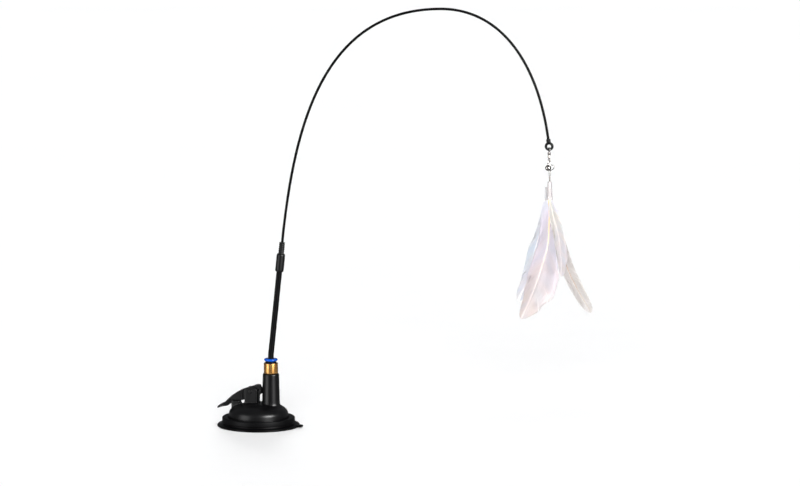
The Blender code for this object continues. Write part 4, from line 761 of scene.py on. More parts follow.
def ear_piece(side):
    """One upright ear, rounded at its top."""
    near, far = sorted((side * (EAR_FACE - EAR_THICKNESS), side * EAR_FACE))
    ear = block_piece((-EAR_LEFT, near, DOME_CEILING - OVERRUN), (-EAR_RIGHT, far, EAR_TOP))
    return round_some(
        ear, EAR_CORNER,
        lambda a, b: min(a.z, b.z) > DOME_TOP and abs(a.y - b.y) > EAR_THICKNESS / 2,
    )


def dome_room():
    """The room under the dome, as a cutter."""
    wall = DOME_SPRING[0] - DOME_WALL
    rings = [
        (wall, 0), (wall, DOME_SPRING[1]), (wall - DOME_WALL, DOME_CEILING - DOME_WALL / 2),
        (SPRING_ROOM, DOME_CEILING),
    ]
    return turned_piece(rings, POST_SIDES)


def along_pin(piece):
    """Lays a piece that was turned upright along the lever pin's line."""
    choose(piece)
    place = Matrix.Translation((-PIN_SETBACK, 0, LEVER_PIN.z))
    piece.matrix_world = place @ Matrix.Rotation(pi / 2, 4, "X")
    keep_place()
    return piece


def housing(finish):
    """Dome, post, ears and rest as one moulding with soft fillets, hollow below."""
    rings = [(FLANGE_RADIUS, CUP_FOOT), (FLANGE_RADIUS, CUP_FOOT + FLANGE_THICKNESS),
             (DOME_FOOT_RADIUS, CUP_FOOT + FLANGE_THICKNESS), *crown()]
    body = turned_piece(rings, DISC_SIDES)
    rest = block_piece((-REST_FAR, -REST_HALF, REST_FOOT), (-REST_NEAR, REST_HALF, REST_TOP))
    ease_edges(rest, REST_CORNER)
    for shape in (post_piece(), ear_piece(-1), ear_piece(1), rest):
        combine(body, shape, "UNION")
    combine(body, dome_room(), "DIFFERENCE")
    way = turned_piece([(STEM_WAY, DOME_CEILING - OVERRUN), (STEM_WAY, DOME_TOP + OVERRUN)],
                       BARREL_SIDES)
    combine(body, way, "DIFFERENCE")
    pocket = turned_piece([(POCKET_RADIUS, POCKET_FOOT), (POCKET_RADIUS, POST_TOP + OVERRUN)],
                          SLEEVE_SIDES)
    pocket.location.x = POST_OFFSET
    combine(body, pocket, "DIFFERENCE")
    bore = PIN_RADIUS + SEAT_GAP
    reach = EAR_FACE + OVERRUN
    hole = turned_piece([(bore, -reach), (bore, reach)], BARREL_SIDES)
    combine(body, along_pin(hole), "DIFFERENCE")
    melt_joins(body, HOUSING_GRAIN, HOUSING_PASSES)
    settle(body, "housing_moulding", "base", finish, ["base_housing"], CUP_FRAME)


def pin_through_ears(finish):
    """Pin with a domed head on both sides."""
    head = EAR_FACE + SEAT_GAP
    round_middle = (PIN_HEAD_RADIUS - PIN_HEAD_THICKNESS, head)
    far = arc_rings(round_middle, PIN_HEAD_THICKNESS, 0, PIN_HEAD_ARC)
    near = [(radius, -height) for radius, height in reversed(far)]
    rings = [*near, (PIN_RADIUS, -head), (PIN_RADIUS, head), *far]
    pin = smooth_corners(along_pin(turned_piece(rings, BARREL_SIDES)))
    settle(pin, "ear_pin", "base", finish, ["lever_pin"], CUP_FRAME)


LEVER_GRAIN = 0.00035
LEVER_PASSES = 5


def lever_moulding(finish):
    """The lever's own solid with the soft edges of a moulding."""
    piece = put_in_scene("lever_moulding", frame["nodes"]["lever"].data.copy())
    bpy.ops.object.mode_set(mode="EDIT")
    bpy.ops.mesh.select_all(action="SELECT")
    bpy.ops.mesh.remove_doubles(threshold=MERGE_DISTANCE)
    bpy.ops.object.mode_set(mode="OBJECT")
    melt_joins(piece, LEVER_GRAIN, LEVER_PASSES)
    settle(piece, "lever_moulding", "lever", finish, ["lever"])


# Push-in fitting
SPIGOT_RADIUS = 0.0057
SPIGOT_FOOT = 0.046
COLLAR_RADIUS = 0.00745
COLLAR_TOP = 0.0676
TUBE_STOP = 0.047
SEAL_STEP = 0.0579
GRIP_STEP = 0.0603
LIP_FOOT = 0.0662
CHAMBER_RADIUS = 0.006
BUTTON_RADIUS = 0.0072
BUTTON_NECK = 0.005
BUTTON_FOOT = 0.0641
BUTTON_FOOT_THICKNESS = 0.001
BUTTON_UNDERSIDE = 0.0699
BUTTON_TOP = 0.0723
BUTTON_RIM_ARC = (-84, 78)
BUTTON_RIM_STEPS = 14
TUBE_RADIUS = 0.003
TUBE_FIT = 0.0004


def brass_band(finish):
    """Body of the fitting: a spigot in the post and a plain band above it, eased at both edges."""
    shoulder = POST_TOP + SEAT_GAP
    lip = BUTTON_NECK + SEAT_GAP
    way = TUBE_RADIUS + TUBE_FIT
    rings = [
        (SEAT_GAP, SPIGOT_FOOT), (SPIGOT_RADIUS, SPIGOT_FOOT), (SPIGOT_RADIUS, shoulder),
        (COLLAR_RADIUS, shoulder), (COLLAR_RADIUS, COLLAR_TOP), (lip, COLLAR_TOP), (lip, LIP_FOOT),
        (CHAMBER_RADIUS, LIP_FOOT), (CHAMBER_RADIUS, GRIP_STEP), (lip, GRIP_STEP), (lip, SEAL_STEP),
        (way, SEAL_STEP), (way, TUBE_STOP), (SEAT_GAP, TUBE_STOP),
    ]
    band = ease_edges(turned_piece(rings, POST_SIDES), SEAT_GAP)
    smooth_corners(band)
    settle(band, "brass_band", "base", finish, ["brass_collar"], POST_FRAME)


def blue_collar(finish):
    """Release collar: a lens-shaped rim on a neck, held in by its foot."""
    inner = TUBE_RADIUS + TUBE_FIT
    foot = BUTTON_FOOT
    outer = CHAMBER_RADIUS - SEAT_GAP
    half = (BUTTON_TOP - BUTTON_UNDERSIDE) / 2
    rim_middle = (BUTTON_RADIUS - half, BUTTON_UNDERSIDE + half)
    rings = [
        (inner, foot), (outer, foot), (outer, foot + BUTTON_FOOT_THICKNESS),
        (BUTTON_NECK, foot + BUTTON_FOOT_THICKNESS), (BUTTON_NECK, BUTTON_UNDERSIDE),
        *arc_rings(rim_middle, half, *BUTTON_RIM_ARC, BUTTON_RIM_STEPS),
        (inner + SEAT_GAP, BUTTON_TOP), (inner, BUTTON_TOP - SEAT_GAP),
    ]
    collar = smooth_corners(turned_piece(rings, POST_SIDES, hollow=True))
    settle(collar, "blue_collar", "release_collar", finish, ["release_collar"],
           POST_FRAME)


# The dark washer and sleeve round the blue collar's neck are painted shade: dark pieces put where
# the collar's rim shades its neck
WASHER_RADIUS = 0.0061
WASHER_THICKNESS = 0.001
WASHER_SEAT = 0.0001
# Clearance of the dark neck sleeve, which paints the shade under the collar's rim
SHADE_SLEEVE_SEAT = 0.00005
WASHER_FOOT = COLLAR_TOP + WASHER_SEAT
WASHER_TOP = WASHER_FOOT + WASHER_THICKNESS


def rim_shade_washer(finish):
    """Dark washer on the brass band, round the blue collar's neck: a dark piece that paints the
    shade under the collar's rim.
    """
    inner = BUTTON_NECK + SEAT_GAP
    rings = [(inner, WASHER_FOOT), (WASHER_RADIUS, WASHER_FOOT), (WASHER_RADIUS, WASHER_TOP),
             (inner, WASHER_TOP)]
    washer = ease_edges(turned_piece(rings, SLEEVE_SIDES, hollow=True), SEAT_GAP)
    smooth_corners(washer)
    settle(washer, "rim_shade_washer", "base", finish, place=POST_FRAME)


def neck_shade_sleeve(finish):
    """Dark sleeve on the blue collar's neck, which closes the washer's inside to the eye: painted
    shade under the collar's rim.
    """
    inner = BUTTON_NECK + SHADE_SLEEVE_SEAT
    outer = BUTTON_NECK + SEAT_GAP - SHADE_SLEEVE_SEAT
    top = BUTTON_UNDERSIDE - SHADE_SLEEVE_SEAT
    rings = [(inner, WASHER_TOP), (outer, WASHER_TOP), (outer, top), (inner, top)]
    wiper = smooth_corners(turned_piece(rings, SLEEVE_SIDES, hollow=True))
    settle(wiper, "neck_shade_sleeve", "release_collar", finish, place=POST_FRAME)


# Lower tube, sleeve and ferrule
TUBE_BORE = 0.002
TUBE_BEND_RADIUS = 0.06
TUBE_STRAIGHT = 0.0867
TUBE_FINENESS = 10
SLEEVE_RADIUS = 0.00445
SLEEVE_LENGTH = 0.0193
SLEEVE_ROUND = 0.0022
SLEEVE_SOCKET = 0.009
FERRULE_RADIUS = 0.00305
FERRULE_SPIGOT = 0.0022
FERRULE_SPIGOT_LENGTH = 0.0088
FERRULE_LENGTH = 0.0116
FERRULE_RIBS = 5
FERRULE_GROOVE = 0.00035
RIB_STEPS = 8
RIB_SMOOTH_ANGLE = 50
BEND_STEPS = 8
ROD_RADIUS = 0.0014
ROD_SOCKET = 0.0087
BEND_FOOT = BUTTON_TOP + SEAT_GAP


def bend_place(angle):
    """The point that the tube's middle line reaches after a part of its bend, from the post."""
    return Vector((TUBE_BEND_RADIUS * (1 - cos(angle)), 0,
                   BEND_FOOT + TUBE_BEND_RADIUS * sin(angle)))


SLEEVE_PLACE = POST + bend_place(LEAN_ANGLE) + TUBE_STRAIGHT * LEAN
SLEEVE_FRAME = Matrix.Translation(SLEEVE_PLACE) @ Matrix.Rotation(LEAN_ANGLE, 4, "Y")


def tube_piece(finish):
    """Hollow tube: upright in the fitting, through its bend, then along its straight lean."""
    end = TUBE_STRAIGHT + SLEEVE_SOCKET - SEAT_GAP
    path = [Vector((0, 0, TUBE_STOP + SEAT_GAP))]
    path += [bend_place(LEAN_ANGLE * step / BEND_STEPS) for step in range(BEND_STEPS + 1)]
    path.append(path[-1] + end * LEAN)
    past = [path[0] - OVERRUN * Vector((0, 0, 1)), *path[1:-1], path[-1] + OVERRUN * LEAN]
    tube = wire_piece(path, TUBE_RADIUS, TUBE_FINENESS)
    combine(tube, wire_piece(past, TUBE_BORE, TUBE_FINENESS), "DIFFERENCE")
    smooth_corners(tube)
    settle(tube, "nylon_tube", "tube", finish, ["lower_tube"],
           Matrix.Translation(POST))


def sleeve_piece(finish):
    """Round-ended sleeve over the tube's end and the ferrule's spigot."""
    socket = TUBE_RADIUS + SEAT_GAP
    bore = FERRULE_SPIGOT + SEAT_GAP
    rings = [(socket, 0)]
    rings += [(SLEEVE_RADIUS - (SLEEVE_RADIUS - socket - SEAT_GAP) * (1 - sin(turn)),
               SLEEVE_ROUND * (1 - cos(turn))) for turn in quarter_turns()]
    rings += [(SLEEVE_RADIUS - (SLEEVE_RADIUS - FERRULE_RADIUS) * (1 - cos(turn)),
               SLEEVE_LENGTH - SLEEVE_ROUND * (1 - sin(turn))) for turn in quarter_turns()]
    rings += [(bore, SLEEVE_LENGTH), (bore, SLEEVE_SOCKET), (socket, SLEEVE_SOCKET)]
    sleeve = smooth_corners(turned_piece(rings, SLEEVE_SIDES, hollow=True))
    settle(sleeve, "joint_moulding", "tube", finish, ["joint_sleeve"],
           SLEEVE_FRAME)


def ferrule_piece(finish):
    """Plug with five soft ribs, its spigot below and the rod's socket above."""
    foot = SLEEVE_LENGTH + SEAT_GAP
    top = foot + FERRULE_LENGTH
    pitch = FERRULE_LENGTH / FERRULE_RIBS
    way = ROD_RADIUS + SEAT_GAP
    rings = [(FERRULE_SPIGOT, foot - FERRULE_SPIGOT_LENGTH), (FERRULE_SPIGOT, foot)]
    for index in range(FERRULE_RIBS * RIB_STEPS):
        share = (index + 0.5) / RIB_STEPS
        dip = max(0.0, -cos(2 * pi * share)) ** 0.5
        rings.append((FERRULE_RADIUS - FERRULE_GROOVE * dip, foot + pitch * share))
    rings += [(FERRULE_RADIUS - FERRULE_GROOVE, top), (way, top),
              (way, top - ROD_SOCKET - SEAT_GAP)]
    ferrule = smooth_corners(turned_piece(rings, SLEEVE_SIDES), RIB_SMOOTH_ANGLE)
    settle(ferrule, "ribbed_plug", "rod", finish, ["rod_ferrule"], SLEEVE_FRAME)


# Sprung rod: two Bezier pieces that meet level at the top of the arch
ARCH_SPAN_TO_TOP = 0.1783
ARCH_TOP = 0.4432
ARCH_RISE_HANDLE = 0.1245
ARCH_TOP_HANDLE_IN = 0.123
ARCH_TOP_HANDLE_OUT = 0.0645
ARCH_END_HANDLE = 0.0815
ARCH_SPAN_TO_END = 0.1132
ARCH_END_HEIGHT = 0.3026
ARCH_END_LEAN = 7.2
ARCH_POINTS = 72
ROD_FINENESS = 6


def rod_coating(finish):
    """The rod's smooth black coating, over the same two curves as its solid."""
    top = POST + Vector((ARCH_SPAN_TO_TOP, 0, ARCH_TOP))
    end = POST + Vector((ARCH_SPAN_TO_TOP + ARCH_SPAN_TO_END, 0, ARCH_END_HEIGHT))
    foot = SLEEVE_PLACE + (SLEEVE_LENGTH + SEAT_GAP + FERRULE_LENGTH) * LEAN
    lean = radians(ARCH_END_LEAN)
    downward = Vector((sin(lean), 0, -cos(lean)))
    level = Vector((1, 0, 0))
    rise = interpolate_bezier(
        foot, foot + ARCH_RISE_HANDLE * LEAN, top - ARCH_TOP_HANDLE_IN * level, top, ARCH_POINTS
    )
    fall = interpolate_bezier(
        top, top + ARCH_TOP_HANDLE_OUT * level, end - ARCH_END_HANDLE * downward, end, ARCH_POINTS
    )
    path = [foot - ROD_SOCKET * LEAN, *rise, *fall[1:]]
    settle(wire_piece(path, ROD_RADIUS, ROD_FINENESS), "rod_coating", "rod",
           finish, ["rod_sheath", "rod_core"])


# Eye and swivel
EYE_RADIUS = 0.00335
EYE_SECTION = 0.00125
EYE_ROUND = 0.0014
EYE_NECK_RADIUS = 0.0023
EYE_NECK_LENGTH = 0.0079
EYE_NECK_ROUND = 0.0004
EYE_GRAIN = 0.00018
EYE_PASSES = 5
WIRE_RADIUS = 0.00045
RING_TURN = 28.0
UPPER_RING_RADIUS = 0.00215
LOWER_RING_RADIUS = 0.0019
BARREL_RADIUS = 0.0017
BARREL_LENGTH = 0.0056
BARREL_WALL = 0.00045
BARREL_ROUND = 0.0005
BARREL_END_SHARE = 0.2
SHANK_HEAD_RADIUS = 0.0008
SHANK_HEAD_LENGTH = 0.0007
SHANK_REACH = 0.0009
SWIVEL_GRAIN = 0.0001
SWIVEL_PASSES = 3
TIP_FRAME = Matrix.Translation(TIP)
UPPER_RING_HEIGHT = -EYE_RADIUS + EYE_SECTION + SEAT_GAP + WIRE_RADIUS - UPPER_RING_RADIUS
BARREL_TOP = UPPER_RING_HEIGHT - UPPER_RING_RADIUS - SHANK_REACH + SEAT_GAP / 2
LOWER_RING_HEIGHT = BARREL_TOP - BARREL_LENGTH + SEAT_GAP / 2 - SHANK_REACH - LOWER_RING_RADIUS


def eye_piece(finish):
    """Moulded eye and neck that run into each other."""
    ring = ring_piece(EYE_RADIUS, EYE_ROUND, (pi / 2, 0, 0))
    inner = EYE_NECK_RADIUS - EYE_NECK_ROUND
    rings = [
        (EYE_NECK_ROUND, EYE_RADIUS), (inner, EYE_RADIUS),
        (EYE_NECK_RADIUS, EYE_RADIUS + EYE_SECTION),
        (EYE_NECK_RADIUS, EYE_NECK_LENGTH - EYE_NECK_ROUND), (inner, EYE_NECK_LENGTH),
    ]
    neck = turned_piece(rings, BARREL_SIDES)
    neck.rotation_euler = (0, -radians(ARCH_END_LEAN), 0)
    eye = melt_joins(join(ring, neck), EYE_GRAIN, EYE_PASSES)
    settle(eye, "eye_moulding", "rod", finish, ["rod_eye"], TIP_FRAME)


def ring_with_shank(height, radius, direction):
    """A ring of wire turned to the front, with its shank, which ends in a head in the barrel."""
    turn = (0, pi / 2, radians(RING_TURN))
    ring = ring_piece(radius, WIRE_RADIUS, turn, (0, 0, height))
    neck = SHANK_REACH + BARREL_WALL + 2 * SEAT_GAP
    rings = [(WIRE_RADIUS, -WIRE_RADIUS / 2), (WIRE_RADIUS, neck), (SHANK_HEAD_RADIUS, neck),
             (SHANK_HEAD_RADIUS, neck + SHANK_HEAD_LENGTH)]
    shank = turned_piece(rings, SHANK_SIDES)
    if direction < 0:
        shank.rotation_euler = (pi, 0, 0)
    shank.location.z = height + direction * radius
    return melt_joins(join(ring, shank), SWIVEL_GRAIN, SWIVEL_PASSES)


def swivel_rings(finish):
    """The ring in the rod's eye and the ring that the snap and the bell hang on."""
    for body, node, height, radius, direction in (
        ("swivel_top", "swivel_upper_ring", UPPER_RING_HEIGHT, UPPER_RING_RADIUS, -1),
        ("swivel_foot", "swivel_lower_ring", LOWER_RING_HEIGHT, LOWER_RING_RADIUS, 1),
    ):
        ring = ring_with_shank(height, radius, direction)
        settle(ring, body + "_wire", body, finish, [node], TIP_FRAME)


def swivel_barrel(finish):
    """The waisted barrel that holds both shanks by their heads."""
    foot = BARREL_TOP - BARREL_LENGTH
    way = WIRE_RADIUS + SEAT_GAP
    room = BARREL_RADIUS - BARREL_WALL
    waist = BARREL_RADIUS - BARREL_WALL / 3
    rise = BARREL_LENGTH * BARREL_END_SHARE
    step = BARREL_WALL / 2
    edge = BARREL_RADIUS - BARREL_ROUND
    rings = [
        (way, foot), *arc_rings((edge, foot + BARREL_ROUND), BARREL_ROUND, -90, 0),
        (BARREL_RADIUS, foot + rise), (waist, foot + rise + step),
        (waist, BARREL_TOP - rise - step), (BARREL_RADIUS, BARREL_TOP - rise),
        *arc_rings((edge, BARREL_TOP - BARREL_ROUND), BARREL_ROUND, 0, 90),
        (way, BARREL_TOP), (way, BARREL_TOP - BARREL_WALL), (room, BARREL_TOP - BARREL_WALL),
        (room, foot + BARREL_WALL), (way, foot + BARREL_WALL),
    ]
    barrel = smooth_corners(turned_piece(rings, BARREL_SIDES, hollow=True))
    settle(barrel, "swivel_body", "swivel_top", finish, ["swivel_barrel"],
           TIP_FRAME)


# Snap
SNAP_WIRE = 0.0004
SNAP_EYE_RADIUS = 0.0012
SNAP_LOOP_WIDTH = 0.0079
SNAP_LOOP_LENGTH = 0.0069
SNAP_STRANDS = 0.0015
SNAP_NECK = 0.0013
SNAP_SLEEVE_HEIGHT = 0.001
SNAP_SLEEVE_WALL = 0.00035
SNAP_SLEEVE_STEPS = 5
SNAP_EYE_TURNS = (205, 180, 135, 90, 45, 0, -25)
SNAP_LOOP_SHARES = (
    (0.27, 0.14), (0.59, 0.26), (0.68, 0.55), (0.44, 0.87), (0.08, 1.0),
    (-0.2, 0.9), (-0.32, 0.58), (-0.22, 0.25),
)
SNAP_HALF = SNAP_STRANDS / 2
SNAP_EYE_HEIGHT = WIRE_RADIUS + SNAP_WIRE + SEAT_GAP - SNAP_EYE_RADIUS
SNAP_NECK_TOP = SNAP_EYE_HEIGHT - SNAP_NECK
SNAP_NECK_FOOT = SNAP_NECK_TOP - SNAP_SLEEVE_HEIGHT
SNAP_FRAME = Matrix.Translation(SNAP)


def snap_wire(finish):
    """One bent wire: an eye above, a neck, and a loop below that is closed at the neck."""
    meeting = (SNAP_NECK_TOP + SNAP_NECK_FOOT) / 2
    points = [(-SNAP_HALF, meeting + SEAT_GAP), (-SNAP_HALF, SNAP_NECK_TOP)]
    points += [(SNAP_EYE_RADIUS * cos(radians(turn)),
                SNAP_EYE_HEIGHT + SNAP_EYE_RADIUS * sin(radians(turn))) for turn in SNAP_EYE_TURNS]
    points += [(SNAP_HALF, SNAP_NECK_TOP), (SNAP_HALF, SNAP_NECK_FOOT)]
    points += [(SNAP_LOOP_WIDTH * across, SNAP_NECK_FOOT - SNAP_LOOP_LENGTH * down)
               for across, down in SNAP_LOOP_SHARES]
    points += [(-SNAP_HALF, SNAP_NECK_FOOT), (-SNAP_HALF, meeting - SEAT_GAP)]
    wire = wire_piece(smooth_through([(x, 0, z) for x, z in points]), SNAP_WIRE)
    settle(wire, "snap_wire", "snap", finish, ["snap_loop"], SNAP_FRAME)


def snap_sleeve(finish):
    """The folded sleeve round the snap's neck."""
    inner = Vector((SNAP_HALF + SNAP_WIRE + SEAT_GAP, SNAP_WIRE + SEAT_GAP, 0))
    wall = Vector((SNAP_SLEEVE_WALL, SNAP_SLEEVE_WALL, 0))
    rise = Vector((0, 0, SNAP_SLEEVE_HEIGHT))
    foot = Vector((0, 0, SNAP_NECK_FOOT))
    sleeve = block_piece(foot - inner - wall, foot + rise + inner + wall)
    round_some(sleeve, SNAP_SLEEVE_WALL, lambda a, b: abs(a.z - b.z) > SNAP_SLEEVE_WALL,
               SNAP_SLEEVE_STEPS)
    way = block_piece(foot - inner - rise, foot + 2 * rise + inner)
    combine(sleeve, way, "DIFFERENCE")
    ease_edges(sleeve, SNAP_SLEEVE_WALL / 4)
    smooth_corners(sleeve)
    settle(sleeve, "snap_band", "snap", finish, ["snap_sleeve"], SNAP_FRAME)


# Bell
BELL_RADIUS = 0.00315
BELL_WALL = 0.00045
BELL_LEAN = 24.0
BELL_SIDE_LEAN = 10.0
BELL_DROP = 0.0066
BELL_SLOT = 0.0009
BELL_SLOT_END_SHARE = 0.45
BELL_HOLE_RADIUS = 0.0008
BELL_SEAM = 0.00018
BELL_SEAM_ANGLE = 3
BELL_POLE_ANGLE = 87
BELL_SHELL_STEPS = 16
BELL_ROOM_STEPS = 24
BELL_LOOP_RADIUS = 0.0013
STAPLE_STEPS = 16
STAPLE_FINENESS = 3
BELL_FRAME = (Matrix.Translation(BELL) @ Matrix.Rotation(radians(BELL_SIDE_LEAN), 4, "Y")
              @ Matrix.Rotation(-radians(BELL_LEAN), 4, "X"))


def bell_piece(finish):
    """Pressed bell: two half shells with a seam, a slot that ends in round holes, and a staple."""
    centre = -BELL_DROP
    lip = BELL_RADIUS + BELL_SEAM
    rings = [
        *arc_rings((0, centre), BELL_RADIUS, -BELL_POLE_ANGLE, -BELL_SEAM_ANGLE, BELL_SHELL_STEPS),
        (lip, centre - BELL_SEAM), (lip, centre + BELL_SEAM),
        *arc_rings((0, centre), BELL_RADIUS, BELL_SEAM_ANGLE, BELL_POLE_ANGLE, BELL_SHELL_STEPS),
    ]
    shell = turned_piece(rings, SLEEVE_SIDES)
    room = turned_piece(
        arc_rings((0, centre), BELL_RADIUS - BELL_WALL, -BELL_POLE_ANGLE, BELL_POLE_ANGLE,
                  BELL_ROOM_STEPS),
        BARREL_SIDES,
    )
    combine(shell, room, "DIFFERENCE")
    slot_end = centre - BELL_RADIUS * (1 - BELL_SLOT_END_SHARE)
    slot = block_piece((-BELL_RADIUS, -BELL_SLOT / 2, centre - 2 * BELL_RADIUS),
                       (BELL_RADIUS, BELL_SLOT / 2, slot_end))
    combine(shell, slot, "DIFFERENCE")
    hole = turned_piece([(BELL_HOLE_RADIUS, -2 * BELL_RADIUS), (BELL_HOLE_RADIUS, 2 * BELL_RADIUS)],
                        SHANK_SIDES)
    hole.matrix_world = Matrix.Translation((0, 0, slot_end)) @ Matrix.Rotation(pi / 2, 4, "Y")
    combine(shell, hole, "DIFFERENCE")
    top = WIRE_RADIUS + SNAP_WIRE + SEAT_GAP - BELL_LOOP_RADIUS
    foot = centre + BELL_RADIUS - BELL_WALL
    turns = [pi - pi * index / STAPLE_STEPS for index in range(STAPLE_STEPS + 1)]
    path = [Vector((-BELL_LOOP_RADIUS / 2, 0, foot))]
    path += [Vector((BELL_LOOP_RADIUS * cos(turn), 0, top + BELL_LOOP_RADIUS * sin(turn)))
             for turn in turns]
    path.append(Vector((BELL_LOOP_RADIUS / 2, 0, foot)))
    bell = smooth_corners(join(shell, wire_piece(path, SNAP_WIRE, STAPLE_FINENESS)))
    settle(bell, "bell_pressing", "bell", finish, ["bell_shell"], BELL_FRAME)


# Lure's loop and cap
LOOP_WIRE = 0.00035
LOOP_WIDTH = 0.0032
LOOP_LENGTH = 0.0122
LOOP_TURN = 35.0
LOOP_STEM_LENGTH = 0.004
LOOP_STEM_RADIUS = 0.0009
LOOP_SHARES = ((0.27, 0.93), (0.45, 0.66), (0.85, 0.28), (1.0, 0.1), (0.7, 0.02))
TWIST_TURNS = 2
TWIST_STEPS = 24
STRAND_FINENESS = 3
CAP_LENGTH = 0.019
CAP_TOP_RADIUS = 0.0021
CAP_FOOT_RADIUS = 0.0031
CAP_WALL = 0.0006
CAP_TOP = SNAP_WIRE - LOOP_LENGTH
LURE_FRAME = Matrix.Translation(HOOK)


def twisted_strand(start, top):
    """One of the two strands that twist round each other in the cap."""
    drop = LOOP_STEM_LENGTH + LOOP_WIRE
    points = []
    for index in range(TWIST_STEPS + 1):
        share = index / TWIST_STEPS
        angle = start + 2 * pi * TWIST_TURNS * share
        points.append((LOOP_WIRE * cos(angle), LOOP_WIRE * sin(angle),
                       top + LOOP_WIRE - drop * share))
    return wire_piece(points, LOOP_WIRE, STRAND_FINENESS)


def hook_loop(finish):
    """Thin wire loop that hangs on the snap, twisted into a stem in the cap."""
    half = LOOP_WIDTH / 2
    top = SNAP_WIRE + LOOP_WIRE + SEAT_GAP
    right = [(half * across, top - LOOP_LENGTH * down) for across, down in LOOP_SHARES]
    left = [(-x, z) for x, z in reversed(right)]
    turn = Matrix.Rotation(pi / 2 - radians(LOOP_TURN), 3, "Z")
    path = smooth_through([turn @ Vector((x, 0, z)) for x, z in [*right, (0, top), *left]])
    loop = wire_piece(path, LOOP_WIRE)
    stem_top = top - LOOP_LENGTH * LOOP_SHARES[0][1]
    loop = join(loop, twisted_strand(0, stem_top), twisted_strand(pi, stem_top))
    settle(loop, "hook_wire", "lure", finish, ["lure_loop"], LURE_FRAME)


def cap_piece(finish):
    """Clear shrunk cap: a closed shoulder above, a slightly waisted skirt, open below."""
    foot = CAP_TOP - CAP_LENGTH
    way = LOOP_STEM_RADIUS + SEAT_GAP
    inner = CAP_TOP_RADIUS - CAP_WALL
    shoulder = CAP_TOP - CAP_WALL
    waist = (CAP_FOOT_RADIUS + CAP_TOP_RADIUS) / 2
    rings = [
        (CAP_FOOT_RADIUS - CAP_WALL, foot), (CAP_FOOT_RADIUS, foot),
        (CAP_FOOT_RADIUS - CAP_WALL / 3, foot + CAP_LENGTH / 4), (waist, foot + CAP_LENGTH / 2),
        *arc_rings((inner, shoulder), CAP_WALL, 0, 90), (way, CAP_TOP), (way, shoulder),
        (inner, shoulder - CAP_WALL), (waist - CAP_WALL, foot + CAP_LENGTH / 2),
    ]
    cap = smooth_corners(turned_piece(rings, BARREL_SIDES, hollow=True))
    settle(cap, "shrunk_cap", "lure", finish, ["feather_cap"], LURE_FRAME)


# Feathers: each way is across and down as shares of its length, from the cap's foot.
# The two edges are shares of its width, left and right of the quill. Depth is how far it fans to
# the back, curve how far its edges come forward, quill its root's radius, and seat its angle
# round the cap's middle.
FEATHER_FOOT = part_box("feather_cap")[0][2]
QUILL_RING_RADIUS = 0.0009
SPREAD_SHARE = 0.125
FAN_SHARE = 0.25
FEATHERS = {
    "feather_main": {
        "length": 0.1265, "width": 0.0265, "depth": 0.0, "curve": 0.0022, "quill": 0.0008,
        "seat": 180, "barbs": 320, "seed": 3,
        "way_shares": ((0.0, -0.1), (0.0, 0.02), (-0.005, 0.2125), (-0.017, 0.396),
                       (-0.075, 0.604), (-0.158, 0.8375), (-0.235, 1.0)),
        "left_shares": (0.34, 0.36, 0.38, 0.4, 0.46, 0.46, 0.4, 0.27, 0.15),
        "right_shares": (0.32, 0.4, 0.44, 0.46, 0.6, 0.8, 0.84, 0.52, 0.2),
    },
    "feather_left": {
        "length": 0.1085, "width": 0.0185, "depth": 0.0042, "curve": 0.0018, "quill": 0.0008,
        "seat": 90, "barbs": 270, "seed": 5,
        "way_shares": ((-0.034, -0.12), (-0.038, 0.0), (-0.062, 0.2), (-0.132, 0.475),
                       (-0.194, 0.75), (-0.26, 0.906), (-0.3, 1.0)),
        "left_shares": (0.05, 0.2, 0.24, 0.28, 0.42, 0.42, 0.42, 0.34, 0.2),
        "right_shares": (0.05, 0.2, 0.34, 0.44, 0.5, 0.5, 0.42, 0.3, 0.2),
    },
    "feather_short": {
        "length": 0.0815, "width": 0.0135, "depth": -0.0036, "curve": 0.0014, "quill": 0.0004,
        "seat": 270, "barbs": 210, "seed": 8,
        "way_shares": ((0.0, -0.14), (0.006, 0.02), (0.045, 0.2), (0.115, 0.464), (0.15, 0.75),
                       (0.158, 1.0)),
        "left_shares": (0.06, 0.25, 0.38, 0.4, 0.42, 0.42, 0.38, 0.25, 0.12),
        "right_shares": (0.06, 0.25, 0.42, 0.5, 0.46, 0.5, 0.5, 0.35, 0.15),
    },
    "feather_right": {
        "length": 0.1215, "width": 0.0142, "depth": 0.0082, "curve": 0.0014, "quill": 0.0005,
        "seat": 0, "barbs": 300, "seed": 11,
        "way_shares": ((0.0, -0.09), (0.002, 0.02), (0.036, 0.18), (0.092, 0.4), (0.152, 0.6),
                       (0.24, 0.79), (0.362, 1.0)),
        "left_shares": (0.02, 0.05, 0.12, 0.3, 0.42, 0.48, 0.5, 0.45, 0.3),
        "right_shares": (0.02, 0.05, 0.16, 0.44, 0.5, 0.5, 0.5, 0.45, 0.3),
    },
}
BARB_ROWS = 7
BARB_RUN = 1.5
BARB_BEND = 1.3
BARB_WIDTH = 0.75
BARB_NARROWING = 0.5
BARB_THICKNESS = 0.00009
BARB_TILT = 14.0
ROOT_RUN = 0.12
ROOT_RUN_GAIN = 5.0
TIP_ROUND_SHARE = 0.05
WHOLE_BARB = (0.96, 1.0)
BROKEN_BARB = (0.8, 0.93)
BROKEN_CHANCE = 0.03
GROUP_SIZE = (10, 34)
GROUP_CLOSING = (0.0, 0.02, 0.04, 0.06, 0.14)
GROUP_LIFT = 0.3
QUILL_STEPS = 10
QUILL_SIDES = 12
QUILL_WIDTH = 1.1
QUILL_NARROWING = 0.85
QUILL_SMOOTH_ANGLE = 50


def share_at(shares, along):
    """A value read smoothly from a row of shares, for a place along it from 0 to 1."""
    position = max(0.0, min(1.0, along)) * (len(shares) - 1)
    index = min(int(position), len(shares) - 2)
    rest = position - index
    blend = rest * rest * (3 - 2 * rest)
    return shares[index] + (shares[index + 1] - shares[index]) * blend


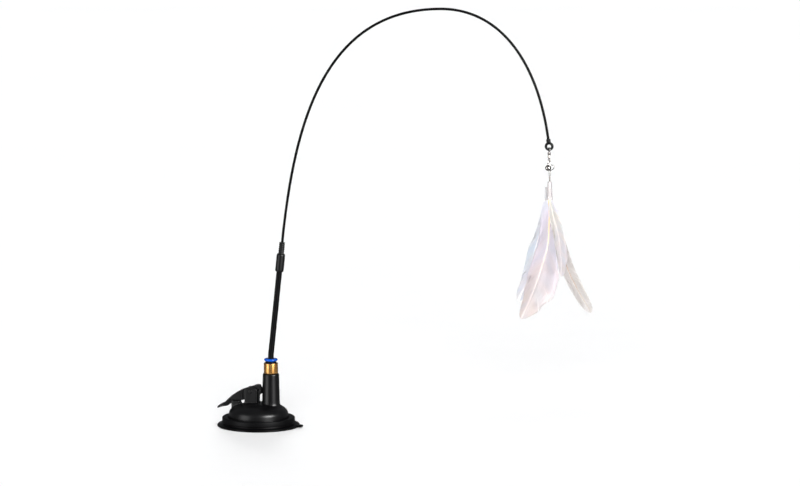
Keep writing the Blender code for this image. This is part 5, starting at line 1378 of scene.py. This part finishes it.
def edge_share(shares, along):
    """How far the vane reaches at a place along the quill, with a round end at its tip."""
    past = max(0.0, (along - 1 + TIP_ROUND_SHARE) / TIP_ROUND_SHARE)
    return share_at(shares, along) * (1 - min(1.0, past) ** 2) ** 0.5


def quill_line(design):
    """Points down the quill with their share of its length, on the same way as its solid."""
    length = design["length"]
    way = [(length * across, 0, -length * down) for across, down in design["way_shares"]]
    flat = smooth_through(way, QUILL_STEPS)
    seat = radians(design["seat"])
    line = []
    for point in flat:
        along = max(0.0, -point.z / -flat[-1].z)
        spread = QUILL_RING_RADIUS * max(0.0, 1 - along / SPREAD_SHARE)
        depth = design["depth"] * min(1.0, along / FAN_SHARE)
        offset = Vector((cos(seat) * spread, sin(seat) * spread + depth, 0))
        line.append((along, Vector((HOOK.x, HOOK.y, FEATHER_FOOT)) + point + offset))
    return line


def on_quill(line, along):
    """The quill's point and direction at a share of its length."""
    for (before, start), (after, end) in zip(line, line[1:]):
        if after >= along:
            rest = (along - before) / (after - before) if after > before else 0.0
            return start.lerp(end, max(0.0, rest)), (end - start).normalized()
    return line[-1][1], (line[-1][1] - line[-2][1]).normalized()


def mesh_piece(name, layer, corners, faces, places):
    """A piece made of corners and faces, with a UV place for each corner."""
    mesh = bpy.data.meshes.new(name)
    mesh.from_pydata(corners, [], faces)
    run = mesh.uv_layers.new(name=layer)
    for loop in mesh.loops:
        run.data[loop.index].uv = places[loop.vertex_index]
    return put_in_scene(name, mesh)


def feather_vane(name, finish):
    """Hundreds of barbs that end on the vane's edge, hooked in groups with a few splits."""
    design = FEATHERS[name]
    random = Random(design["seed"])
    line = quill_line(design)
    count = design["barbs"]
    corners, faces, places = [], [], []
    for side, shares in ((-1, design["left_shares"]), (1, design["right_shares"])):
        index = 0
        while index < count:
            size = random.randint(*GROUP_SIZE)
            centre = index + size / 2
            close = random.choice(GROUP_CLOSING) / count
            lift = random.uniform(-GROUP_LIFT, GROUP_LIFT) * design["curve"]
            for number in range(index, min(index + size, count)):
                root = (number + 0.5) / count
                gather = (centre - number) * close
                points = barb_line(design, line, side, shares, root, gather, lift, random)
                barb_skin(points, side, root, design["length"] / count, corners, faces, places)
            index += size
    vane = mesh_piece(name, "barb_run", corners, faces, places)
    vane.data.shade_smooth()
    settle(vane, name.replace("feather", "vane"), "lure", finish, [name])


def barb_line(design, line, side, shares, root, gather, lift, random):
    """A barb's middle line: it leaves the quill, bends towards the tip and ends on the edge."""
    half = design["width"] / 2
    run = (BARB_RUN * half / design["length"] * (1 - root ** 6)
           * min(1.0, ROOT_RUN + root * ROOT_RUN_GAIN))
    end = random.uniform(*WHOLE_BARB)
    if random.random() < BROKEN_CHANCE:
        end = random.uniform(*BROKEN_BARB)
    points = []
    for row in range(BARB_ROWS):
        u = end * row / (BARB_ROWS - 1)
        along = min(1.0, root + run * u ** BARB_BEND + gather * u * u)
        centre, down = on_quill(line, along)
        across = Vector((-down.z, 0, down.x)).normalized() * side
        reach = u * design["width"] * edge_share(shares, along)
        sag = -design["curve"] * (reach / half) ** 2
        points.append(centre + across * reach + Vector((0, sag + lift * u * u, 0)))
    return points


def barb_skin(points, side, root, spacing, corners, faces, places):
    """Adds a barb's corners and faces: a thin three-sided strand that narrows to its end."""
    tilt = radians(BARB_TILT)
    start = len(corners)
    front = Vector((0, 1, 0))
    for row, point in enumerate(points):
        u = row / (BARB_ROWS - 1)
        way = points[min(row + 1, BARB_ROWS - 1)] - points[max(row - 1, 0)]
        flat = way.cross(front).normalized()
        share = BARB_WIDTH - BARB_NARROWING * u ** 4
        width = (flat * cos(tilt) + front * sin(tilt)) * spacing * share
        corners += [point + width, point - width, point + front * BARB_THICKNESS]
        places += [(0.5 + side * u / 2, root)] * 3
        if row:
            a = start + 3 * (row - 1)
            for edge in range(3):
                step = (edge + 1) % 3
                faces.append((a + edge, a + 3 + edge, a + 3 + step, a + step))
    last = start + 3 * (BARB_ROWS - 1)
    faces += [(start, start + 1, start + 2), (last + 2, last + 1, last)]


def feather_quill(name, finish):
    """The quill as a tapered tube, thickest at its root."""
    design = FEATHERS[name]
    line = quill_line(design)
    corners, faces, places = [], [], []
    total = len(line) - 1
    for index, (along, point) in enumerate(line):
        after = line[min(index + 1, total)][1]
        before = line[max(index - 1, 0)][1]
        down = (after - before).normalized()
        across = Vector((0, 1, 0)).cross(down).normalized()
        radius = design["quill"] * (QUILL_WIDTH - QUILL_NARROWING * along ** 0.6)
        for number in range(QUILL_SIDES):
            turn = 2 * pi * number / QUILL_SIDES
            corners.append(point + radius * (across * cos(turn) + down.cross(across) * sin(turn)))
            places.append((number / QUILL_SIDES, along))
        if index:
            a = QUILL_SIDES * (index - 1)
            b = a + QUILL_SIDES
            for number in range(QUILL_SIDES):
                step = (number + 1) % QUILL_SIDES
                faces.append((a + number, a + step, b + step, b + number))
    root = range(QUILL_SIDES)
    faces += [tuple(reversed(root)), tuple(QUILL_SIDES * total + number for number in root)]
    quill = mesh_piece(name + "_quill", "quill_run", corners, faces, places)
    smooth_corners(quill, QUILL_SMOOTH_ANGLE)
    settle(quill, name.replace("feather", "quill"), "lure", finish)


def dress_feathers():
    """Each feather with its own tints, from cool white at the left to grey-beige at the right."""
    soft_patches = [(0.34, "#e4f0ff"), (0.46, "#fbf9ff"), (0.56, "#fffcfa"), (0.68, "#ffefee")]
    white = feather_barbs(
        "white_barbs",
        [(0.0, "#f6f5f8"), (0.14, "#efe8f6"), (0.34, "#f2eaf4"), (0.52, "#f1e5e9"),
         (0.75, "#eaddd9"), (1.0, "#e9ddd8")],
        soft_patches, "#f0eaf0",
    )
    cool = feather_barbs(
        "cool_white_barbs",
        [(0.0, "#ececf0"), (0.2, "#f0f2f9"), (0.5, "#ebf4fd"), (0.75, "#f3f0f7"), (1.0, "#f6f6f8")],
        soft_patches, "#e9ecf2",
    )
    cream = feather_barbs(
        "cream_barbs",
        [(0.0, "#fbf8f4"), (0.3, "#fbf6f0"), (0.55, "#f6eff2"), (0.8, "#f6ecee"), (1.0, "#f2ecee")],
        soft_patches, "#efeae6",
    )
    grey = feather_barbs(
        "grey_beige_barbs",
        [(0.0, "#f0edea"), (0.4, "#eee9e6"), (0.7, "#ece7e4"), (1.0, "#e2dcda")],
        [(0.35, "#f4f1ee"), (0.6, "#ffffff")], "#beb4ab",
    )
    amber = quill_keratin("amber_quill", [(0.0, "#fad3a2"), (0.3, "#fbdcb4"), (0.45, "#fbe8d8"),
                                          (0.6, "#f5e8e4"), (1.0, "#f0e4e0")])
    stub = quill_keratin("grey_quill", [(0.0, "#a9a9ad"), (0.02, "#b9b9be"), (0.1, "#dcdae2"),
                                        (1.0, "#f2eeee")])
    pale = quill_keratin("pale_quill", [(0.0, "#f6ead8"), (0.3, "#f3e9e2"), (1.0, "#f2eaea")])
    tan = quill_keratin("tan_quill", [(0.0, "#e3d3bd"), (0.35, "#b98a5a"), (0.8, "#bb9674"),
                                      (1.0, "#cfc0b2")])
    for name, barbs, quill in (
        ("feather_main", white, amber), ("feather_left", cool, stub),
        ("feather_short", cream, pale), ("feather_right", grey, tan),
    ):
        feather_vane(name, barbs)
        feather_quill(name, quill)


def finish_nodes(finish, *names):
    """Gives the named CAD nodes, which stay as they are, their finish."""
    for name in names:
        node = frame["nodes"][name]
        node.data.materials.clear()
        node.data.materials.append(finish)


def main():
    set_camera()
    lay_floor()
    set_lights()
    housing_black = moulded_plastic("satin_black_abs", "#040405", "#080809",
                                    roughness=0.32, grain=0.5, gloss=0.37)
    ring_black = moulded_plastic("matt_black_abs", "#040405", "#080809",
                                 roughness=0.42, grain=0.5, gloss=0.14)
    rubber_black = moulded_plastic("soft_black_pvc", "#040404", "#070708",
                                   roughness=0.4, grain=0.8, gloss=0.12)
    collar_blue = moulded_plastic("moulded_blue_acetal", "#0042a2", "#004bb0",
                                  roughness=0.13, grain=0.5, gloss=0.45)
    tube_black = extruded_nylon()
    steel = plated_steel()
    suction_disc(rubber_black)
    clamp_ring(ring_black)
    housing(housing_black)
    pin_through_ears(housing_black)
    lever_moulding(housing_black)
    brass_band(turned_brass())
    # Painted shade under the blue collar's rim: a dark washer and a dark sleeve on the neck
    rim_shade_washer(rubber_black)
    neck_shade_sleeve(rubber_black)
    blue_collar(collar_blue)
    tube_piece(tube_black)
    sleeve_piece(housing_black)
    ferrule_piece(housing_black)
    rod_coating(tube_black)
    eye_piece(housing_black)
    for shape in (swivel_rings, swivel_barrel, snap_wire, snap_sleeve, bell_piece, hook_loop):
        shape(steel)
    cap_piece(clear_sleeve())
    dress_feathers()
    finish_nodes(housing_black, "plunger_stem", "plunger_pin", "plunger_plate", "seal_spacer")
    finish_nodes(rubber_black, "seal_ring")
    finish_nodes(steel, "return_spring", "grip_ring", "bell_ball")


main()
